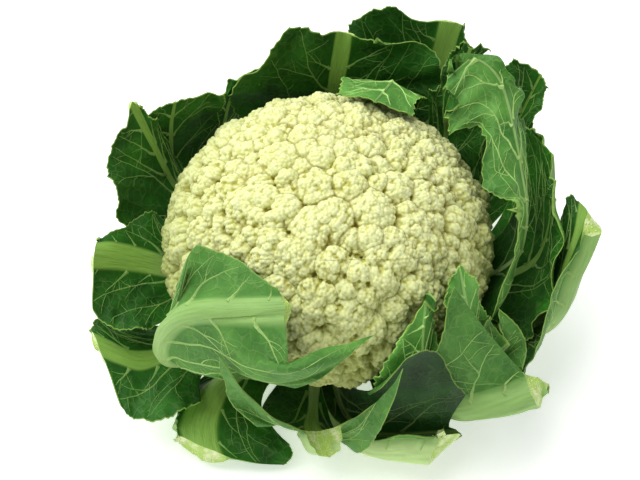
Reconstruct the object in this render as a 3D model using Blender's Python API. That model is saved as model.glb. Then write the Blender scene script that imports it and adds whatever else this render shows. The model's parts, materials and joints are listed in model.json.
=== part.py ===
"""A trimmed cauliflower: one head of florets on its cut stem, in a rosette of cut leaves.

Metres, +Z up. The origin is the centre of the stem's cut face, which is the face that the
vegetable stands on. The front of the head looks along -Y. Sizes below are in millimetres, and
places are given round the head: azimuth in degrees from +X towards +Y, radius, height.
"""

import math

import bmesh
import bpy
import numpy as np
from mathutils import Vector
from mathutils.bvhtree import BVHTree

MM = 0.001

# The head of florets
CURD_RADIUS = 82.0
CURD_RISE = 66.0
CURD_DROP = 28.0
CURD_WIDEST = 62.0
CURD_BOTTOM = 34.0
CURD_POINTS = 3400
CURD_UNDERCUT = 0.28
CORE_SHARE = 0.93
RIM_FLORETS = 64
RIM_FIRST_LEAN = 12.0
RIM_LEAN_SPAN = 92.0
RIM_CROWDING = 0.7
RIM_FLORET_RADIUS = 9.0
RIM_FLORET_GROWTH = 4.0
RIM_FLORET_VARIATION = 1.5
FLORET_DISTANCE = 70.0
FLORET_OVERLAP = 0.62
FLORET_STAGGER = 0.8
UPPER_CROWDING = 1.15
GOLDEN_ANGLE = math.pi * (3 - math.sqrt(5))
CURD_SEED = 4

# The cut stem
STEM_RADIUS = 21.0
STEM_NECK = 20.0
STEM_TOP = 33.65
STEM_SIDES = 28
STEM_RINGS = (
    (0, STEM_RADIUS - 1.0),
    (1.2, STEM_RADIUS),
    (8, STEM_RADIUS),
    (18, STEM_NECK),
    (STEM_TOP, STEM_NECK),
)

# Leaves: thicknesses in millimetres, and places as shares of the way down the leaf to its cut
BLADE = 0.9
RIB_INNER_SHARE = 0.1
RIB_OUTER_SHARE = 0.9
RIB_ROUNDNESS = 0.6
LEAST_RIB_SHARE = 0.02
MOST_RIB_SHARE = 0.85
BELLY_FULL = 0.4
WAVES_START = 0.3
WAVES_FULL = 0.7
SLANT_START = 0.8

# How a leaf is laid over the pieces inside it
GAP = 0.5
LEAST_LEAN = 0.35
FLOOR_CLEARANCE = 1.2
REACH = 14.0
LIFT_ROUNDS = 6
LIFT_ENOUGH = 0.02
STALK_HELD = 0.15
STALK_FREE = 0.3
LIFT_FADE = 0.6

ROUGHNESS = 0.5


class Leaf:
    """One leaf: its midrib and its two margins as curves round the head, from the stem to the cut."""

    def __init__(self, name, rib, left, right, width, depth, belly=(0, 0), bow=(0, 0), wave=(1.5, 3, 0),
                 bevel=0.6, rows=11, cols=9, hollow=False):
        self.name = name
        self.rib = rib
        self.left = left
        self.right = right
        self.width = width
        self.depth = depth
        self.belly = belly
        self.bow = bow
        self.wave = wave
        self.bevel = bevel
        self.hollow = hollow
        self.rows = rows
        self.cols = cols


# The leaves from the innermost to the outermost. Each lies over the ones before it.
LEAVES = (
    Leaf("leaf_small_right", [(-40, 22, 29), (-43, 62, 38), (-42, 87, 60), (-41, 83, 86), (-38, 75, 103)],
         [(-35, 62, 39), (-34, 87, 62), (-34, 83, 84), (-35, 76, 100)],
         [(-50, 62, 39), (-52, 87, 62), (-50, 83, 86), (-43, 76, 103)],
         (9, 5), (3.5, 1.5), rows=8, cols=7),
    Leaf("leaf_small_front", [(-74, 22, 29), (-66, 62, 38), (-62, 86, 58), (-59, 83, 84), (-55, 76, 98)],
         [(-56, 62, 39), (-54, 85, 60), (-53, 82, 84), (-53, 78, 97)],
         [(-74, 62, 39), (-76, 85, 58), (-73, 84, 76), (-62, 78, 93)],
         (9, 5), (3.5, 1.5), rows=8, cols=7),
    Leaf("leaf_small_back", [(76, 22, 29), (70, 62, 37), (68, 86, 58), (67, 88, 84), (65, 74, 107), (60, 44, 123)],
         [(77, 62, 38), (80, 86, 60), (80, 85, 86), (84, 66, 109), (84, 47, 121)],
         [(62, 62, 38), (58, 86, 60), (58, 85, 86), (50, 70, 107), (42, 50, 118)],
         (9, 5), (3.5, 1.5), rows=10, cols=7),
    Leaf("leaf_right_curled",
         [(0, 22, 29), (-4, 62, 37), (-5, 89, 58), (-2, 94, 86), (12, 92, 107), (28, 95, 122), (38, 94, 133),
          (40, 74, 129)],
         [(6, 62, 38), (12, 92, 58), (20, 99, 84), (26, 104, 106), (34, 106, 122), (44, 84, 131)],
         [(-14, 62, 38), (-34, 89, 60), (-20, 87, 84), (-2, 78, 105), (20, 66, 113), (34, 68, 124)],
         (14, 9), (5, 3), wave=(2.0, 4, 0), rows=14, cols=9),
    Leaf("leaf_back_right", [(42, 22, 29), (46, 62, 36), (49, 90, 58), (50, 94, 85), (50, 110, 114)],
         [(53, 62, 37), (59, 93, 60), (58, 97, 84), (56, 101, 102), (54, 108, 117)],
         [(36, 62, 37), (34, 90, 58), (36, 98, 84), (42, 108, 100), (46, 118, 110)],
         (13, 8), (5, 3), rows=11, cols=9),
    Leaf("leaf_back_broad", [(92, 22, 22), (89, 62, 28), (88, 93, 52), (87, 93, 82), (85, 97, 112)],
         [(98, 62, 29), (114, 92, 50), (122, 90, 78), (118, 87, 104), (100, 92, 123)],
         [(78, 62, 29), (62, 95, 54), (55, 98, 80), (56, 97, 104), (74, 90, 117)],
         (16, 15), (6, 4), wave=(2.0, 3, 0.5), rows=12, cols=11),
    Leaf("leaf_front_right_inner", [(-36, 22, 22), (-38, 62, 26), (-42, 84, 36), (-40, 97, 50), (-36, 104, 64)],
         [(-30, 66, 27), (-36, 108, 42), (-34, 112, 55), (-31, 106, 66), (-32, 93, 75)],
         [(-46, 62, 27), (-52, 90, 38), (-50, 98, 50), (-44, 95, 66), (-36, 91, 75)],
         (13, 7), (5, 2), belly=(-5, -4), rows=9, cols=9),
    Leaf("leaf_left_ribbed", [(178, 22, 29), (179, 62, 36), (182, 88, 52), (187, 112, 73)],
         [(190, 62, 37), (202, 86, 44), (206, 100, 50), (204, 112, 55), (199, 118, 62)],
         [(168, 62, 37), (164, 86, 56), (166, 91, 65), (173, 99, 67), (181, 110, 72)],
         (16, 20), (6, 5), rows=11, cols=11),
    Leaf("leaf_left_pointed", [(150, 22, 22), (149, 62, 28), (149, 88, 52), (151, 97, 80), (152, 106, 107)],
         [(166, 62, 29), (173, 93, 57), (174, 104, 80), (167, 110, 92), (158, 109, 102)],
         [(143, 62, 29), (143, 90, 56), (146, 97, 82), (149, 101, 98), (151, 104, 106)],
         (13, 8), (5, 3), rows=11, cols=9),
    Leaf("leaf_back_left", [(142, 22, 15), (142, 62, 20), (142, 97, 42), (143, 99, 76), (143, 94, 104)],
         [(151, 62, 21), (156, 99, 46), (155, 104, 78), (150, 103, 98)],
         [(134, 62, 21), (128, 94, 48), (127, 92, 78), (128, 84, 98)],
         (11, 7), (5, 2), rows=10, cols=9),
    Leaf("leaf_back_narrow", [(112, 22, 15), (118, 62, 20), (124, 94, 44), (122, 95, 76), (116, 91, 99)],
         [(124, 62, 21), (132, 94, 46), (128, 97, 76), (121, 93, 95)],
         [(112, 62, 21), (115, 94, 46), (114, 94, 80), (111, 87, 104)],
         (10, 7), (4, 2), rows=9, cols=7),
    Leaf("leaf_left_folded",
         [(218, 22, 22), (217, 62, 28), (217, 94, 48), (219, 97, 72), (226, 90, 92), (240, 81, 101), (256, 73, 105)],
         [(225, 62, 29), (228, 94, 56), (238, 95, 64), (252, 91, 71), (268, 90, 77), (284, 89, 79)],
         [(208, 62, 29), (212, 94, 54), (220, 91, 84), (214, 76, 106), (231, 66, 112), (250, 68, 110)],
         (14, 12), (6, 4), bow=((-16, 10, -26), 0), rows=14, cols=11),
    Leaf("leaf_right_outer", [(6, 22, 15), (4, 62, 20), (2, 100, 42), (6, 109, 68), (16, 113, 94)],
         [(15, 62, 21), (24, 100, 46), (28, 108, 72), (28, 111, 94), (26, 111, 106)],
         [(-4, 62, 21), (-24, 102, 38), (-24, 108, 54), (-11, 109, 74), (6, 108, 96)],
         (13, 8), (5, 3), rows=11, cols=9),
    Leaf("leaf_front_right_stout", [(-54, 22, 16), (-53, 62, 24), (-51, 96, 38), (-44, 110, 42), (-36, 121, 44)],
         [(-46, 62, 25), (-45, 100, 33), (-40, 113, 33), (-36, 120, 36), (-34, 125, 39)],
         [(-66, 62, 21), (-64, 91, 50), (-58, 89, 80), (-46, 79, 105)],
         (10, 19), (6, 11), bevel=0.9, rows=11, cols=11),
    Leaf("leaf_front_cup", [(-86, 22, 15), (-85, 62, 19), (-79, 84, 22), (-69, 94, 23), (-58, 103, 24)],
         [(-77, 62, 26), (-76, 84, 60), (-68, 90, 92), (-60, 95, 86), (-53, 105, 58)],
         [(-92, 62, 22), (-85, 86, 32), (-74, 97, 36), (-60, 106, 36)],
         (10, 23), (4, 13), belly=(-12, 0), bow=((0, 6, -10), 0), bevel=1.4, wave=(0.8, 3, 0), rows=12, cols=11,
         hollow=True),
    Leaf("leaf_front_centre", [(-98, 22, 8), (-97, 62, 12), (-95, 80, 20), (-92, 88, 30)],
         [(-85, 62, 11), (-82, 93, 20), (-77, 103, 48), (-71, 99, 90)],
         [(-118, 62, 14), (-110, 93, 34), (-117, 99, 58), (-120, 98, 88)],
         (12, 24), (4, 12), bow=((6, 0, -8), (0, 2, -22)), bevel=-0.8, rows=10, cols=11),
    Leaf("leaf_left_low", [(203, 22, 15), (204, 62, 20), (208, 98, 32), (206, 111, 41), (204, 119, 47)],
         [(212, 62, 21), (226, 92, 30), (228, 106, 27), (224, 119, 26), (216, 122, 32)],
         [(195, 62, 21), (196, 98, 34), (198, 110, 44), (197, 116, 48), (198, 120, 51)],
         (12, 19), (5, 7), rows=11, cols=9),
    Leaf("leaf_right_stout", [(-18, 22, 8), (-15, 62, 12), (-14, 106, 36), (-10, 114, 60), (0, 124, 84)],
         [(-6, 62, 14), (-2, 106, 42), (2, 110, 62), (5, 114, 80), (6, 119, 85)],
         [(-24, 62, 14), (-32, 106, 36), (-34, 114, 48), (-22, 112, 66), (-8, 119, 80)],
         (13, 19), (6, 10), bevel=0.5, rows=11, cols=9),
    Leaf("leaf_back_right_point", [(28, 22, 8), (32, 62, 12), (36, 104, 34), (38, 122, 66), (38, 136, 96)],
         [(40, 62, 14), (48, 100, 38), (48, 116, 66), (46, 122, 92), (44, 126, 106)],
         [(24, 62, 14), (26, 102, 36), (29, 114, 64), (32, 123, 86), (34, 132, 93)],
         (14, 7), (6, 3), rows=10, cols=9),
    Leaf("leaf_back_outer", [(70, 22, 8), (68, 62, 12), (64, 99, 34), (61, 112, 70), (59, 121, 112)],
         [(79, 62, 14), (88, 97, 40), (88, 109, 75), (84, 109, 105), (78, 105, 122)],
         [(58, 62, 14), (50, 99, 38), (48, 112, 70), (51, 120, 95), (55, 126, 110)],
         (14, 17), (6, 5), rows=10, cols=9),
    Leaf("leaf_front_left_flat", [(223, 22, 8), (221, 62, 13), (225, 80, 17), (230, 96, 16), (235, 106, 14)],
         [(238, 60, 10), (250, 76, 9), (259, 85, 7), (257, 92, 6)],
         [(213, 62, 12), (216, 82, 16), (222, 99, 16), (228, 107, 14)],
         (12, 27), (4, 8), bevel=-0.5, wave=(0.5, 2, 0), rows=10, cols=9),
)

# The florets that the light falls on, from the crown down: azimuth, degrees from straight up, radius
FLORETS = (
    (152, 4, 8), (328, 8, 6), (42, 10, 9), (248, 16, 13), (304, 16, 10), (348, 16, 6), (30, 20, 10),
    (122, 20, 10), (208, 20, 6), (172, 24, 15), (334, 24, 6), (144, 28, 6), (8, 30, 6), (64, 30, 9),
    (232, 30, 9), (274, 30, 13), (198, 32, 9), (212, 32, 8), (308, 32, 15), (340, 32, 10), (24, 34, 6),
    (258, 34, 13), (88, 36, 9), (230, 36, 6), (4, 40, 9), (144, 40, 8), (160, 40, 8), (260, 40, 7),
    (296, 40, 8), (328, 40, 6), (204, 42, 13), (42, 44, 8), (188, 44, 10), (236, 44, 9), (246, 44, 6),
    (308, 44, 7), (224, 46, 6), (346, 46, 13), (22, 48, 8), (252, 48, 15), (272, 48, 10), (296, 48, 8),
    (324, 48, 13), (6, 52, 7), (32, 52, 6), (172, 52, 8), (196, 52, 8), (224, 52, 6), (236, 52, 8),
    (284, 52, 8), (300, 52, 7), (308, 52, 10), (176, 56, 10), (262, 56, 6), (278, 56, 6), (294, 56, 10),
    (322, 56, 14), (268, 58, 7), (2, 60, 8), (188, 60, 6), (248, 60, 9), (286, 60, 6), (344, 60, 10),
    (200, 62, 10), (228, 64, 9), (264, 64, 9), (272, 64, 6), (306, 64, 8), (358, 66, 8), (180, 68, 7),
    (240, 68, 9), (278, 68, 14), (296, 68, 8), (190, 70, 8), (312, 70, 10), (196, 72, 8), (208, 72, 10),
    (286, 72, 8), (332, 72, 8), (252, 74, 9), (352, 74, 6), (264, 76, 8), (270, 76, 6), (280, 76, 8),
    (306, 78, 9), (228, 80, 8), (240, 80, 8), (290, 84, 8), (336, 84, 6), (330, 86, 8), (270, 88, 8),
    (314, 92, 8), (326, 92, 8), (324, 96, 6),
)

COLOURS = {
    "curd": (0.90, 0.88, 0.58, 1.0),
    "stem": (0.62, 0.70, 0.38, 1.0),
    "leaf": (0.07, 0.19, 0.06, 1.0),
}


def finish(name):
    """A Principled material in one of the vegetable's three colours."""
    material = bpy.data.materials.new(name)
    material.use_nodes = True
    shader = material.node_tree.nodes["Principled BSDF"]
    shader.inputs["Base Color"].default_value = COLOURS[name]
    shader.inputs["Roughness"].default_value = ROUGHNESS
    shader.inputs["Metallic"].default_value = 0.0
    return material


def add_object(name, points, faces, material):
    """One closed solid as an object: points in millimetres, faces with their outer side out."""
    mesh = bpy.data.meshes.new(name)
    mesh.from_pydata([tuple(point * MM) for point in points], [], [tuple(map(int, face)) for face in faces])
    mesh.materials.append(material)
    mesh.shade_smooth()
    obj = bpy.data.objects.new(name, mesh)
    bpy.context.scene.collection.objects.link(obj)
    return obj


def place(round_head):
    """Azimuth in degrees, radius and height as x, y, z."""
    azimuth = np.radians(round_head[..., 0])
    radius = round_head[..., 1]
    return np.stack([radius * np.cos(azimuth), radius * np.sin(azimuth), round_head[..., 2]], axis=-1)


def curve_through(points, at):
    """A smooth curve through evenly spaced points, read at values from 0 to 1."""
    points = np.asarray(points, float)
    spans = len(points) - 1
    along = np.clip(np.asarray(at, float) * spans, 0, spans - 1e-9)
    index = along.astype(int)
    t = (along - index)[:, None]
    ends = np.vstack([2 * points[0] - points[1], points, 2 * points[-1] - points[-2]])
    a, b, c, d = ends[index], ends[index + 1], ends[index + 2], ends[index + 3]
    return 0.5 * (2 * b + (c - a) * t + (2 * a - 5 * b + 4 * c - d) * t**2 + (3 * b - a - 3 * c + d) * t**3)


def even_stations(points, count):
    """Values that read a curve at evenly spaced places along its length."""
    fine = np.linspace(0, 1, 200)
    steps = np.linalg.norm(np.diff(place(curve_through(points, fine)), axis=0), axis=1)
    length = np.concatenate([[0], np.cumsum(steps)])
    return np.interp(np.linspace(0, length[-1], count), length, fine)


def half_blade(rib, margin, shares, belly, bow):
    """The sheet from the rib to one margin: its middle is moved out by the belly, and at the cut by the bow."""
    middle = (rib + margin) / 2
    down = np.linspace(0, 1, len(rib))
    middle[:, 1] += belly * np.clip(down / BELLY_FULL, 0, 1)
    middle += down[:, None] ** 3 * np.asarray(bow)
    t = shares[..., None]
    return (1 - t) ** 2 * rib[:, None] + 2 * t * (1 - t) * middle[:, None] + t**2 * margin[:, None]


def column_shares(half_width, blade_width, columns):
    """Where the columns of a half blade stand: some across the rib, the rest spread to the margin."""
    on_rib = 2 if columns > 3 else 1
    edge = np.clip(half_width / blade_width, LEAST_RIB_SHARE, MOST_RIB_SHARE)
    rib_part = np.linspace(0, 1, on_rib + 1)[None, :] * edge[:, None]
    rest = np.linspace(0, 1, columns - on_rib + 1)[None, 1:]
    return np.hstack([rib_part, edge[:, None] + rest * (1 - edge[:, None])])


def with_base(leaf, points, side):
    """A margin's points with its start, beside the foot of the rib, put first."""
    azimuth, radius, height = leaf.rib[0]
    offset = math.degrees(leaf.width[0] / 2 / radius)
    return [(azimuth + side * offset, radius, height)] + points


def leaf_sheet(leaf):
    """The middle surface of a leaf from its left margin to its right, and how far each point is from the rib."""
    down = np.linspace(0, 1, leaf.rows)
    rib = curve_through(leaf.rib, even_stations(leaf.rib, leaf.rows))
    half_width = (leaf.width[0] + (leaf.width[1] - leaf.width[0]) * down) / 2
    columns = leaf.cols // 2
    halves = []
    for side, points, belly, bow in ((1, leaf.left, leaf.belly[0], leaf.bow[0]),
                                     (-1, leaf.right, leaf.belly[1], leaf.bow[1])):
        margin = curve_through(with_base(leaf, points, side), down)
        blade_width = np.linalg.norm(place(margin) - place(rib), axis=1)
        shares = column_shares(half_width, blade_width, columns)
        halves.append((half_blade(rib, margin, shares, belly, bow), shares * blade_width[:, None], shares))
    (left, left_far, left_share), (right, right_far, right_share) = halves
    sheet = place(np.concatenate([left[:, :0:-1], right], axis=1))
    far = np.concatenate([left_far[:, :0:-1], right_far], axis=1)
    share = np.concatenate([-left_share[:, :0:-1], right_share], axis=1)
    return sheet, far / half_width[:, None], share


def normals_of(sheet):
    """Unit normals of a sheet of points, on the leaf's outer side."""
    normal = np.cross(np.gradient(sheet, axis=0), np.gradient(sheet, axis=1))
    return normal / np.maximum(np.linalg.norm(normal, axis=-1, keepdims=True), 1e-9)


def waved(leaf, sheet, share):
    """The sheet with its margins waved in and out."""
    height, waves, phase = leaf.wave
    down = np.linspace(0, 1, leaf.rows)[:, None]
    growth = np.clip((down - WAVES_START) / (WAVES_FULL - WAVES_START), 0, 1)
    swing = np.sin(2 * math.pi * (waves * down + phase) + np.sign(share))
    return sheet + normals_of(sheet) * (height * growth * share**2 * swing)[..., None]


def thickness(leaf, far):
    """How far the inner and the outer face stand off the middle surface: the rib swells outwards."""
    down = np.linspace(0, 1, leaf.rows)[:, None]
    depth = leaf.depth[0] + (leaf.depth[1] - leaf.depth[0]) * down
    swell = depth * np.clip(1 - far**2, 0, 1) ** RIB_ROUNDNESS
    return BLADE / 2 + RIB_INNER_SHARE * swell, BLADE / 2 + RIB_OUTER_SHARE * swell


def halved(values):
    """A grid with a new row and column between each two."""
    rows = np.empty((2 * len(values) - 1, *values.shape[1:]))
    rows[::2] = values
    rows[1::2] = (values[1:] + values[:-1]) / 2
    grid = np.empty((len(rows), 2 * values.shape[1] - 1, *values.shape[2:]))
    grid[:, ::2] = rows
    grid[:, 1::2] = (rows[:, 1:] + rows[:, :-1]) / 2
    return grid


def spread(values, smooth):
    """A grid with each value raised to its neighbours' largest, or, if smooth, blurred."""
    padded = np.pad(values, 1, mode="edge")
    rows, cols = values.shape
    around = [padded[i:i + rows, j:j + cols] for i in range(3) for j in range(3)]
    return np.mean(around, axis=0) if smooth else np.max(around, axis=0)


def ways_out(leaf, sheet):
    """The directions that a sheet is lifted in: along its normals, or from the head's axis for a hollow leaf."""
    if not leaf.hollow:
        return normals_of(sheet)
    level = sheet * (1, 1, 0)
    return level / np.maximum(np.linalg.norm(level, axis=-1, keepdims=True), 1e-9)


def lifted_clear(leaf, sheet, inner, outer, earlier):
    """The sheet moved out, but for its stalk, until it lies over the earlier pieces."""
    down = np.linspace(0, 1, len(sheet))[:, None]
    free = np.clip((down - STALK_HELD) / (STALK_FREE - STALK_HELD), 0, 1)
    for _ in range(LIFT_ROUNDS):
        fine = halved(halved(sheet))
        way = ways_out(leaf, fine)
        lean = (way * normals_of(fine)).sum(axis=-1)
        depth = np.where(lean > 0, halved(halved(inner)), halved(halved(outer))) / np.maximum(abs(lean), LEAST_LEAN)
        lift = np.zeros(fine.shape[:2])
        for index in np.ndindex(*lift.shape):
            start = Vector(fine[index] + way[index] * REACH)
            _, _, _, distance = earlier.ray_cast(start, Vector(-way[index]), REACH + depth[index] + GAP)
            if distance is not None:
                lift[index] = REACH - distance + depth[index] + GAP
        if lift.max() <= LIFT_ENOUGH:
            break
        lift = spread(spread(lift, smooth=False), smooth=False)[::4, ::4]
        lift = np.maximum(lift, spread(spread(lift, smooth=False) * LIFT_FADE, smooth=True)) * free
        sheet = sheet + ways_out(leaf, sheet) * lift[..., None]
        low = sheet[..., 2] + normals_of(sheet)[..., 2] * outer
        sheet[..., 2] += np.maximum(FLOOR_CLEARANCE - low, 0)
    return sheet


def grid_faces(rows, cols):
    """The triangles of a closed sheet: an outer face, an inner face split alike, and the rim between them."""
    outer = np.arange(rows * cols).reshape(rows, cols)
    inner = outer + rows * cols
    faces = []
    for i in range(rows - 1):
        for j in range(cols - 1):
            a, b, c, d = outer[i, j], outer[i + 1, j], outer[i + 1, j + 1], outer[i, j + 1]
            faces += [(a, b, c), (a, c, d)]
            a, b, c, d = inner[i, j], inner[i + 1, j], inner[i + 1, j + 1], inner[i, j + 1]
            faces += [(a, c, b), (a, d, c)]
    rim = [*outer[0, :-1], *outer[:-1, -1], *outer[-1, :0:-1], *outer[:0:-1, 0]]
    for here, there in zip(rim, rim[1:] + rim[:1]):
        below, beyond = here + rows * cols, there + rows * cols
        faces += [(here, there, beyond), (here, beyond, below)]
    return faces


def leaf_solid(leaf, sheet, inner, outer):
    """The two faces of a leaf as points, with the knife's slant at the cut end."""
    normal = normals_of(sheet)
    along = np.gradient(sheet, axis=0)
    along /= np.linalg.norm(along, axis=-1, keepdims=True)
    down = np.linspace(0, 1, leaf.rows)[:, None]
    slant = leaf.bevel * (inner + outer - BLADE) * np.clip((down - SLANT_START) / (1 - SLANT_START), 0, 1)
    outer_face = sheet + normal * outer[..., None] - along * (slant / 2)[..., None]
    inner_face = sheet - normal * inner[..., None] + along * (slant / 2)[..., None]
    return np.concatenate([outer_face.reshape(-1, 3), inner_face.reshape(-1, 3)])


def head_reach(direction):
    """How far the plain dome under the florets reaches from the head's widest level, in each direction."""
    upright = np.where(direction[..., 2] > 0, CURD_RISE, CURD_DROP)
    across = np.hypot(direction[..., 0], direction[..., 1]) / CURD_RADIUS
    return 1 / np.sqrt(across**2 + (direction[..., 2] / upright) ** 2)


def direction_at(azimuth, polar):
    """The unit direction at an azimuth, at an angle from straight up, both in degrees."""
    turn, lean = math.radians(azimuth), math.radians(polar)
    return np.array([math.sin(lean) * math.cos(turn), math.sin(lean) * math.sin(turn), math.cos(lean)])


def florets():
    """The balls whose union is the head: those of the table, and a spiral of others where it leaves room."""
    chance = np.random.default_rng(CURD_SEED)
    found = [(direction_at(azimuth, polar), radius) for azimuth, polar, radius in FLORETS]
    for index in range(RIM_FLORETS):
        along = (index + 0.5) / RIM_FLORETS
        lean = RIM_FIRST_LEAN + RIM_LEAN_SPAN * along**RIM_CROWDING
        direction = direction_at(math.degrees(index * GOLDEN_ANGLE), lean)
        variation = chance.uniform(-RIM_FLORET_VARIATION, RIM_FLORET_VARIATION)
        radius = round(RIM_FLORET_RADIUS + RIM_FLORET_GROWTH * along + variation)
        if all(np.linalg.norm(direction - other) * FLORET_DISTANCE > FLORET_OVERLAP * (radius + size)
               for other, size in found):
            found.append((direction, radius))
    centres = []
    for direction, radius in found:
        reach = head_reach(direction) + chance.uniform(-FLORET_STAGGER, FLORET_STAGGER)
        centres.append(direction * (reach - radius))
    return np.array(centres), np.array([radius for _, radius in found])


def reach_of_balls(directions, centres, radii):
    """How far the union of the balls and the core under them reaches in each direction."""
    along = directions @ centres.T
    inside = radii**2 - (centres**2).sum(axis=1) + along**2
    balls = np.where(inside > 0, along + np.sqrt(np.maximum(inside, 0)), 0).max(axis=1)
    return np.maximum(balls, CORE_SHARE * head_reach(directions))


def under_limit(directions):
    """How far the head may reach downwards: to its flat foot, and outside it to a shallow cone over the leaves."""
    across = np.hypot(directions[:, 0], directions[:, 1])
    drop = CURD_WIDEST - CURD_BOTTOM
    foot = drop / np.maximum(-directions[:, 2], 1e-6)
    cone = (drop + CURD_UNDERCUT * STEM_RADIUS) / np.maximum(CURD_UNDERCUT * across - directions[:, 2], 1e-6)
    return np.minimum(foot, cone)


def spiral_directions(count):
    """Directions spread over the whole sphere, closer together on the upper side."""
    index = np.arange(count) + 0.5
    height = 1 - 2 * (index / count) ** UPPER_CROWDING
    azimuth = index * GOLDEN_ANGLE
    across = np.sqrt(1 - height**2)
    return np.stack([across * np.cos(azimuth), across * np.sin(azimuth), height], axis=1)


def curd_solid():
    """The head of florets as points and triangles, flat underneath where it meets the stem."""
    directions = spiral_directions(CURD_POINTS)
    centres, radii = florets()
    reach = np.minimum(reach_of_balls(directions, centres, radii), under_limit(directions))
    points = directions * reach[:, None] + (0, 0, CURD_WIDEST)
    hull = bmesh.new()
    for direction in directions:
        hull.verts.new(direction)
    bmesh.ops.convex_hull(hull, input=hull.verts)
    hull.verts.index_update()
    faces = [[vertex.index for vertex in face.verts] for face in hull.faces]
    hull.free()
    return points, outward(points, faces)


def outward(points, faces):
    """The triangles, all turned round if they face into the solid."""
    corners = points[np.array(faces)]
    return faces if np.linalg.det(corners).sum() > 0 else [face[::-1] for face in faces]


def stem_solid():
    """The cut stem: a stump with a slight waist and a flat foot."""
    turn = np.linspace(0, 2 * math.pi, STEM_SIDES, endpoint=False)
    points = [(radius * math.cos(a), radius * math.sin(a), height) for height, radius in STEM_RINGS for a in turn]
    faces = []
    for ring in range(len(STEM_RINGS) - 1):
        for side in range(STEM_SIDES):
            a, b = ring * STEM_SIDES + side, ring * STEM_SIDES + (side + 1) % STEM_SIDES
            c, d = b + STEM_SIDES, a + STEM_SIDES
            faces += [(a, b, c), (a, c, d)]
    points += [(0, 0, 0), (0, 0, STEM_TOP)]
    low, high = len(points) - 2, len(points) - 1
    for side in range(STEM_SIDES):
        beyond = (side + 1) % STEM_SIDES
        faces += [(low, beyond, side), (high, high - 1 - STEM_SIDES + side, high - 1 - STEM_SIDES + beyond)]
    return np.array(points, float), faces


def joined(solids):
    """Several solids' points and faces as one list of each."""
    points, faces = [], []
    for own_points, own_faces in solids:
        first = len(points)
        points += [tuple(point) for point in own_points]
        faces += [tuple(first + int(index) for index in face) for face in own_faces]
    return points, faces


def main():
    """Builds the head, the stem and the leaves, each leaf bent clear of the pieces inside it."""
    for obj in list(bpy.data.objects):
        bpy.data.objects.remove(obj)
    materials = {name: finish(name) for name in COLOURS}
    solids = []
    for name, (points, faces) in (("curd", curd_solid()), ("stem", stem_solid())):
        add_object(name, points, faces, materials[name])
        solids.append((points, faces))
    for leaf in LEAVES:
        sheet, far, share = leaf_sheet(leaf)
        inner, outer = thickness(leaf, far)
        earlier = BVHTree.FromPolygons(*joined(solids))
        sheet = lifted_clear(leaf, waved(leaf, sheet, share), inner, outer, earlier)
        points = leaf_solid(leaf, sheet, inner, outer)
        faces = grid_faces(*sheet.shape[:2])
        add_object(leaf.name, points, faces, materials["leaf"])
        solids.append((points, faces))


main()
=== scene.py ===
"""The looks of a trimmed cauliflower: a head of florets on its cut stem, in a rosette of cut leaves.

Places are given in millimetres round the head, as azimuth in degrees from +X towards +Y, radius
and height, and become metres when a mesh is made. The front of the head looks along -Y.
"""

from __future__ import annotations

import json
import logging
import math
from dataclasses import dataclass, field
from enum import Enum
from typing import Any

import bpy
import numpy as np
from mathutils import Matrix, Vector
from mathutils.bvhtree import BVHTree
from mathutils.kdtree import KDTree

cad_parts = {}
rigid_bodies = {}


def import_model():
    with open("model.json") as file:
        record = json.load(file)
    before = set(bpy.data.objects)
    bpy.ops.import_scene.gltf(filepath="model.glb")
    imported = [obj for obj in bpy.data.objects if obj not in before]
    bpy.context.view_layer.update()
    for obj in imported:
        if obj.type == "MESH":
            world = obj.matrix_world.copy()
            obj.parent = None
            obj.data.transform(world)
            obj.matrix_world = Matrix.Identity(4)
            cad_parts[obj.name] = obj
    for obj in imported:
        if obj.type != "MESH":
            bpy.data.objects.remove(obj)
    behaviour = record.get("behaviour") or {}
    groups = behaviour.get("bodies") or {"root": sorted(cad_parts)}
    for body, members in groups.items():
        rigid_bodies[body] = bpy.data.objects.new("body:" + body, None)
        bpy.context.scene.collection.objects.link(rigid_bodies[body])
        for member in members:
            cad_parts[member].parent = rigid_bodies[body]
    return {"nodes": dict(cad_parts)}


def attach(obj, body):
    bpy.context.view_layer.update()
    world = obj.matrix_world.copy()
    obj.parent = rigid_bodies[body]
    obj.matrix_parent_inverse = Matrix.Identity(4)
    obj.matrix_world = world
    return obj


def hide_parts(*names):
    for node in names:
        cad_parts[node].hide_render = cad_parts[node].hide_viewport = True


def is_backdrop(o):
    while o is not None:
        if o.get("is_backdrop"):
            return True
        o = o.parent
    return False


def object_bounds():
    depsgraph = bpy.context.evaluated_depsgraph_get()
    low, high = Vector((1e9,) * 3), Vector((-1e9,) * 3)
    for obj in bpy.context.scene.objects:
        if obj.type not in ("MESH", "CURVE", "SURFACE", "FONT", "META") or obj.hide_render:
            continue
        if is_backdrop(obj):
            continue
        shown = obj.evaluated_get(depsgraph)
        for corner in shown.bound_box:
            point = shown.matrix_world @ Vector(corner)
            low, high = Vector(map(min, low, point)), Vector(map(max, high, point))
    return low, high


LOG = logging.getLogger("cauliflower")
MM = 0.001
BODY = "root"
BOX_INSET = 0.05
GOLDEN_ANGLE = math.pi * (3 - math.sqrt(5))
Grid = np.ndarray


# Shader language


def linear(red: float, green: float, blue: float) -> tuple[float, float, float, float]:
    """A colour as the shaders take it, from its values on a screen.

    Args:
        red: From 0 to 255, as are green and blue.

    Returns:
        Linear red, green, blue and a full alpha.
    """
    screen = np.array([red, green, blue]) / 255
    light = np.where(screen <= 0.04045, screen / 12.92, ((screen + 0.055) / 1.055) ** 2.4)
    return (*(float(value) for value in light), 1.0)


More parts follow.
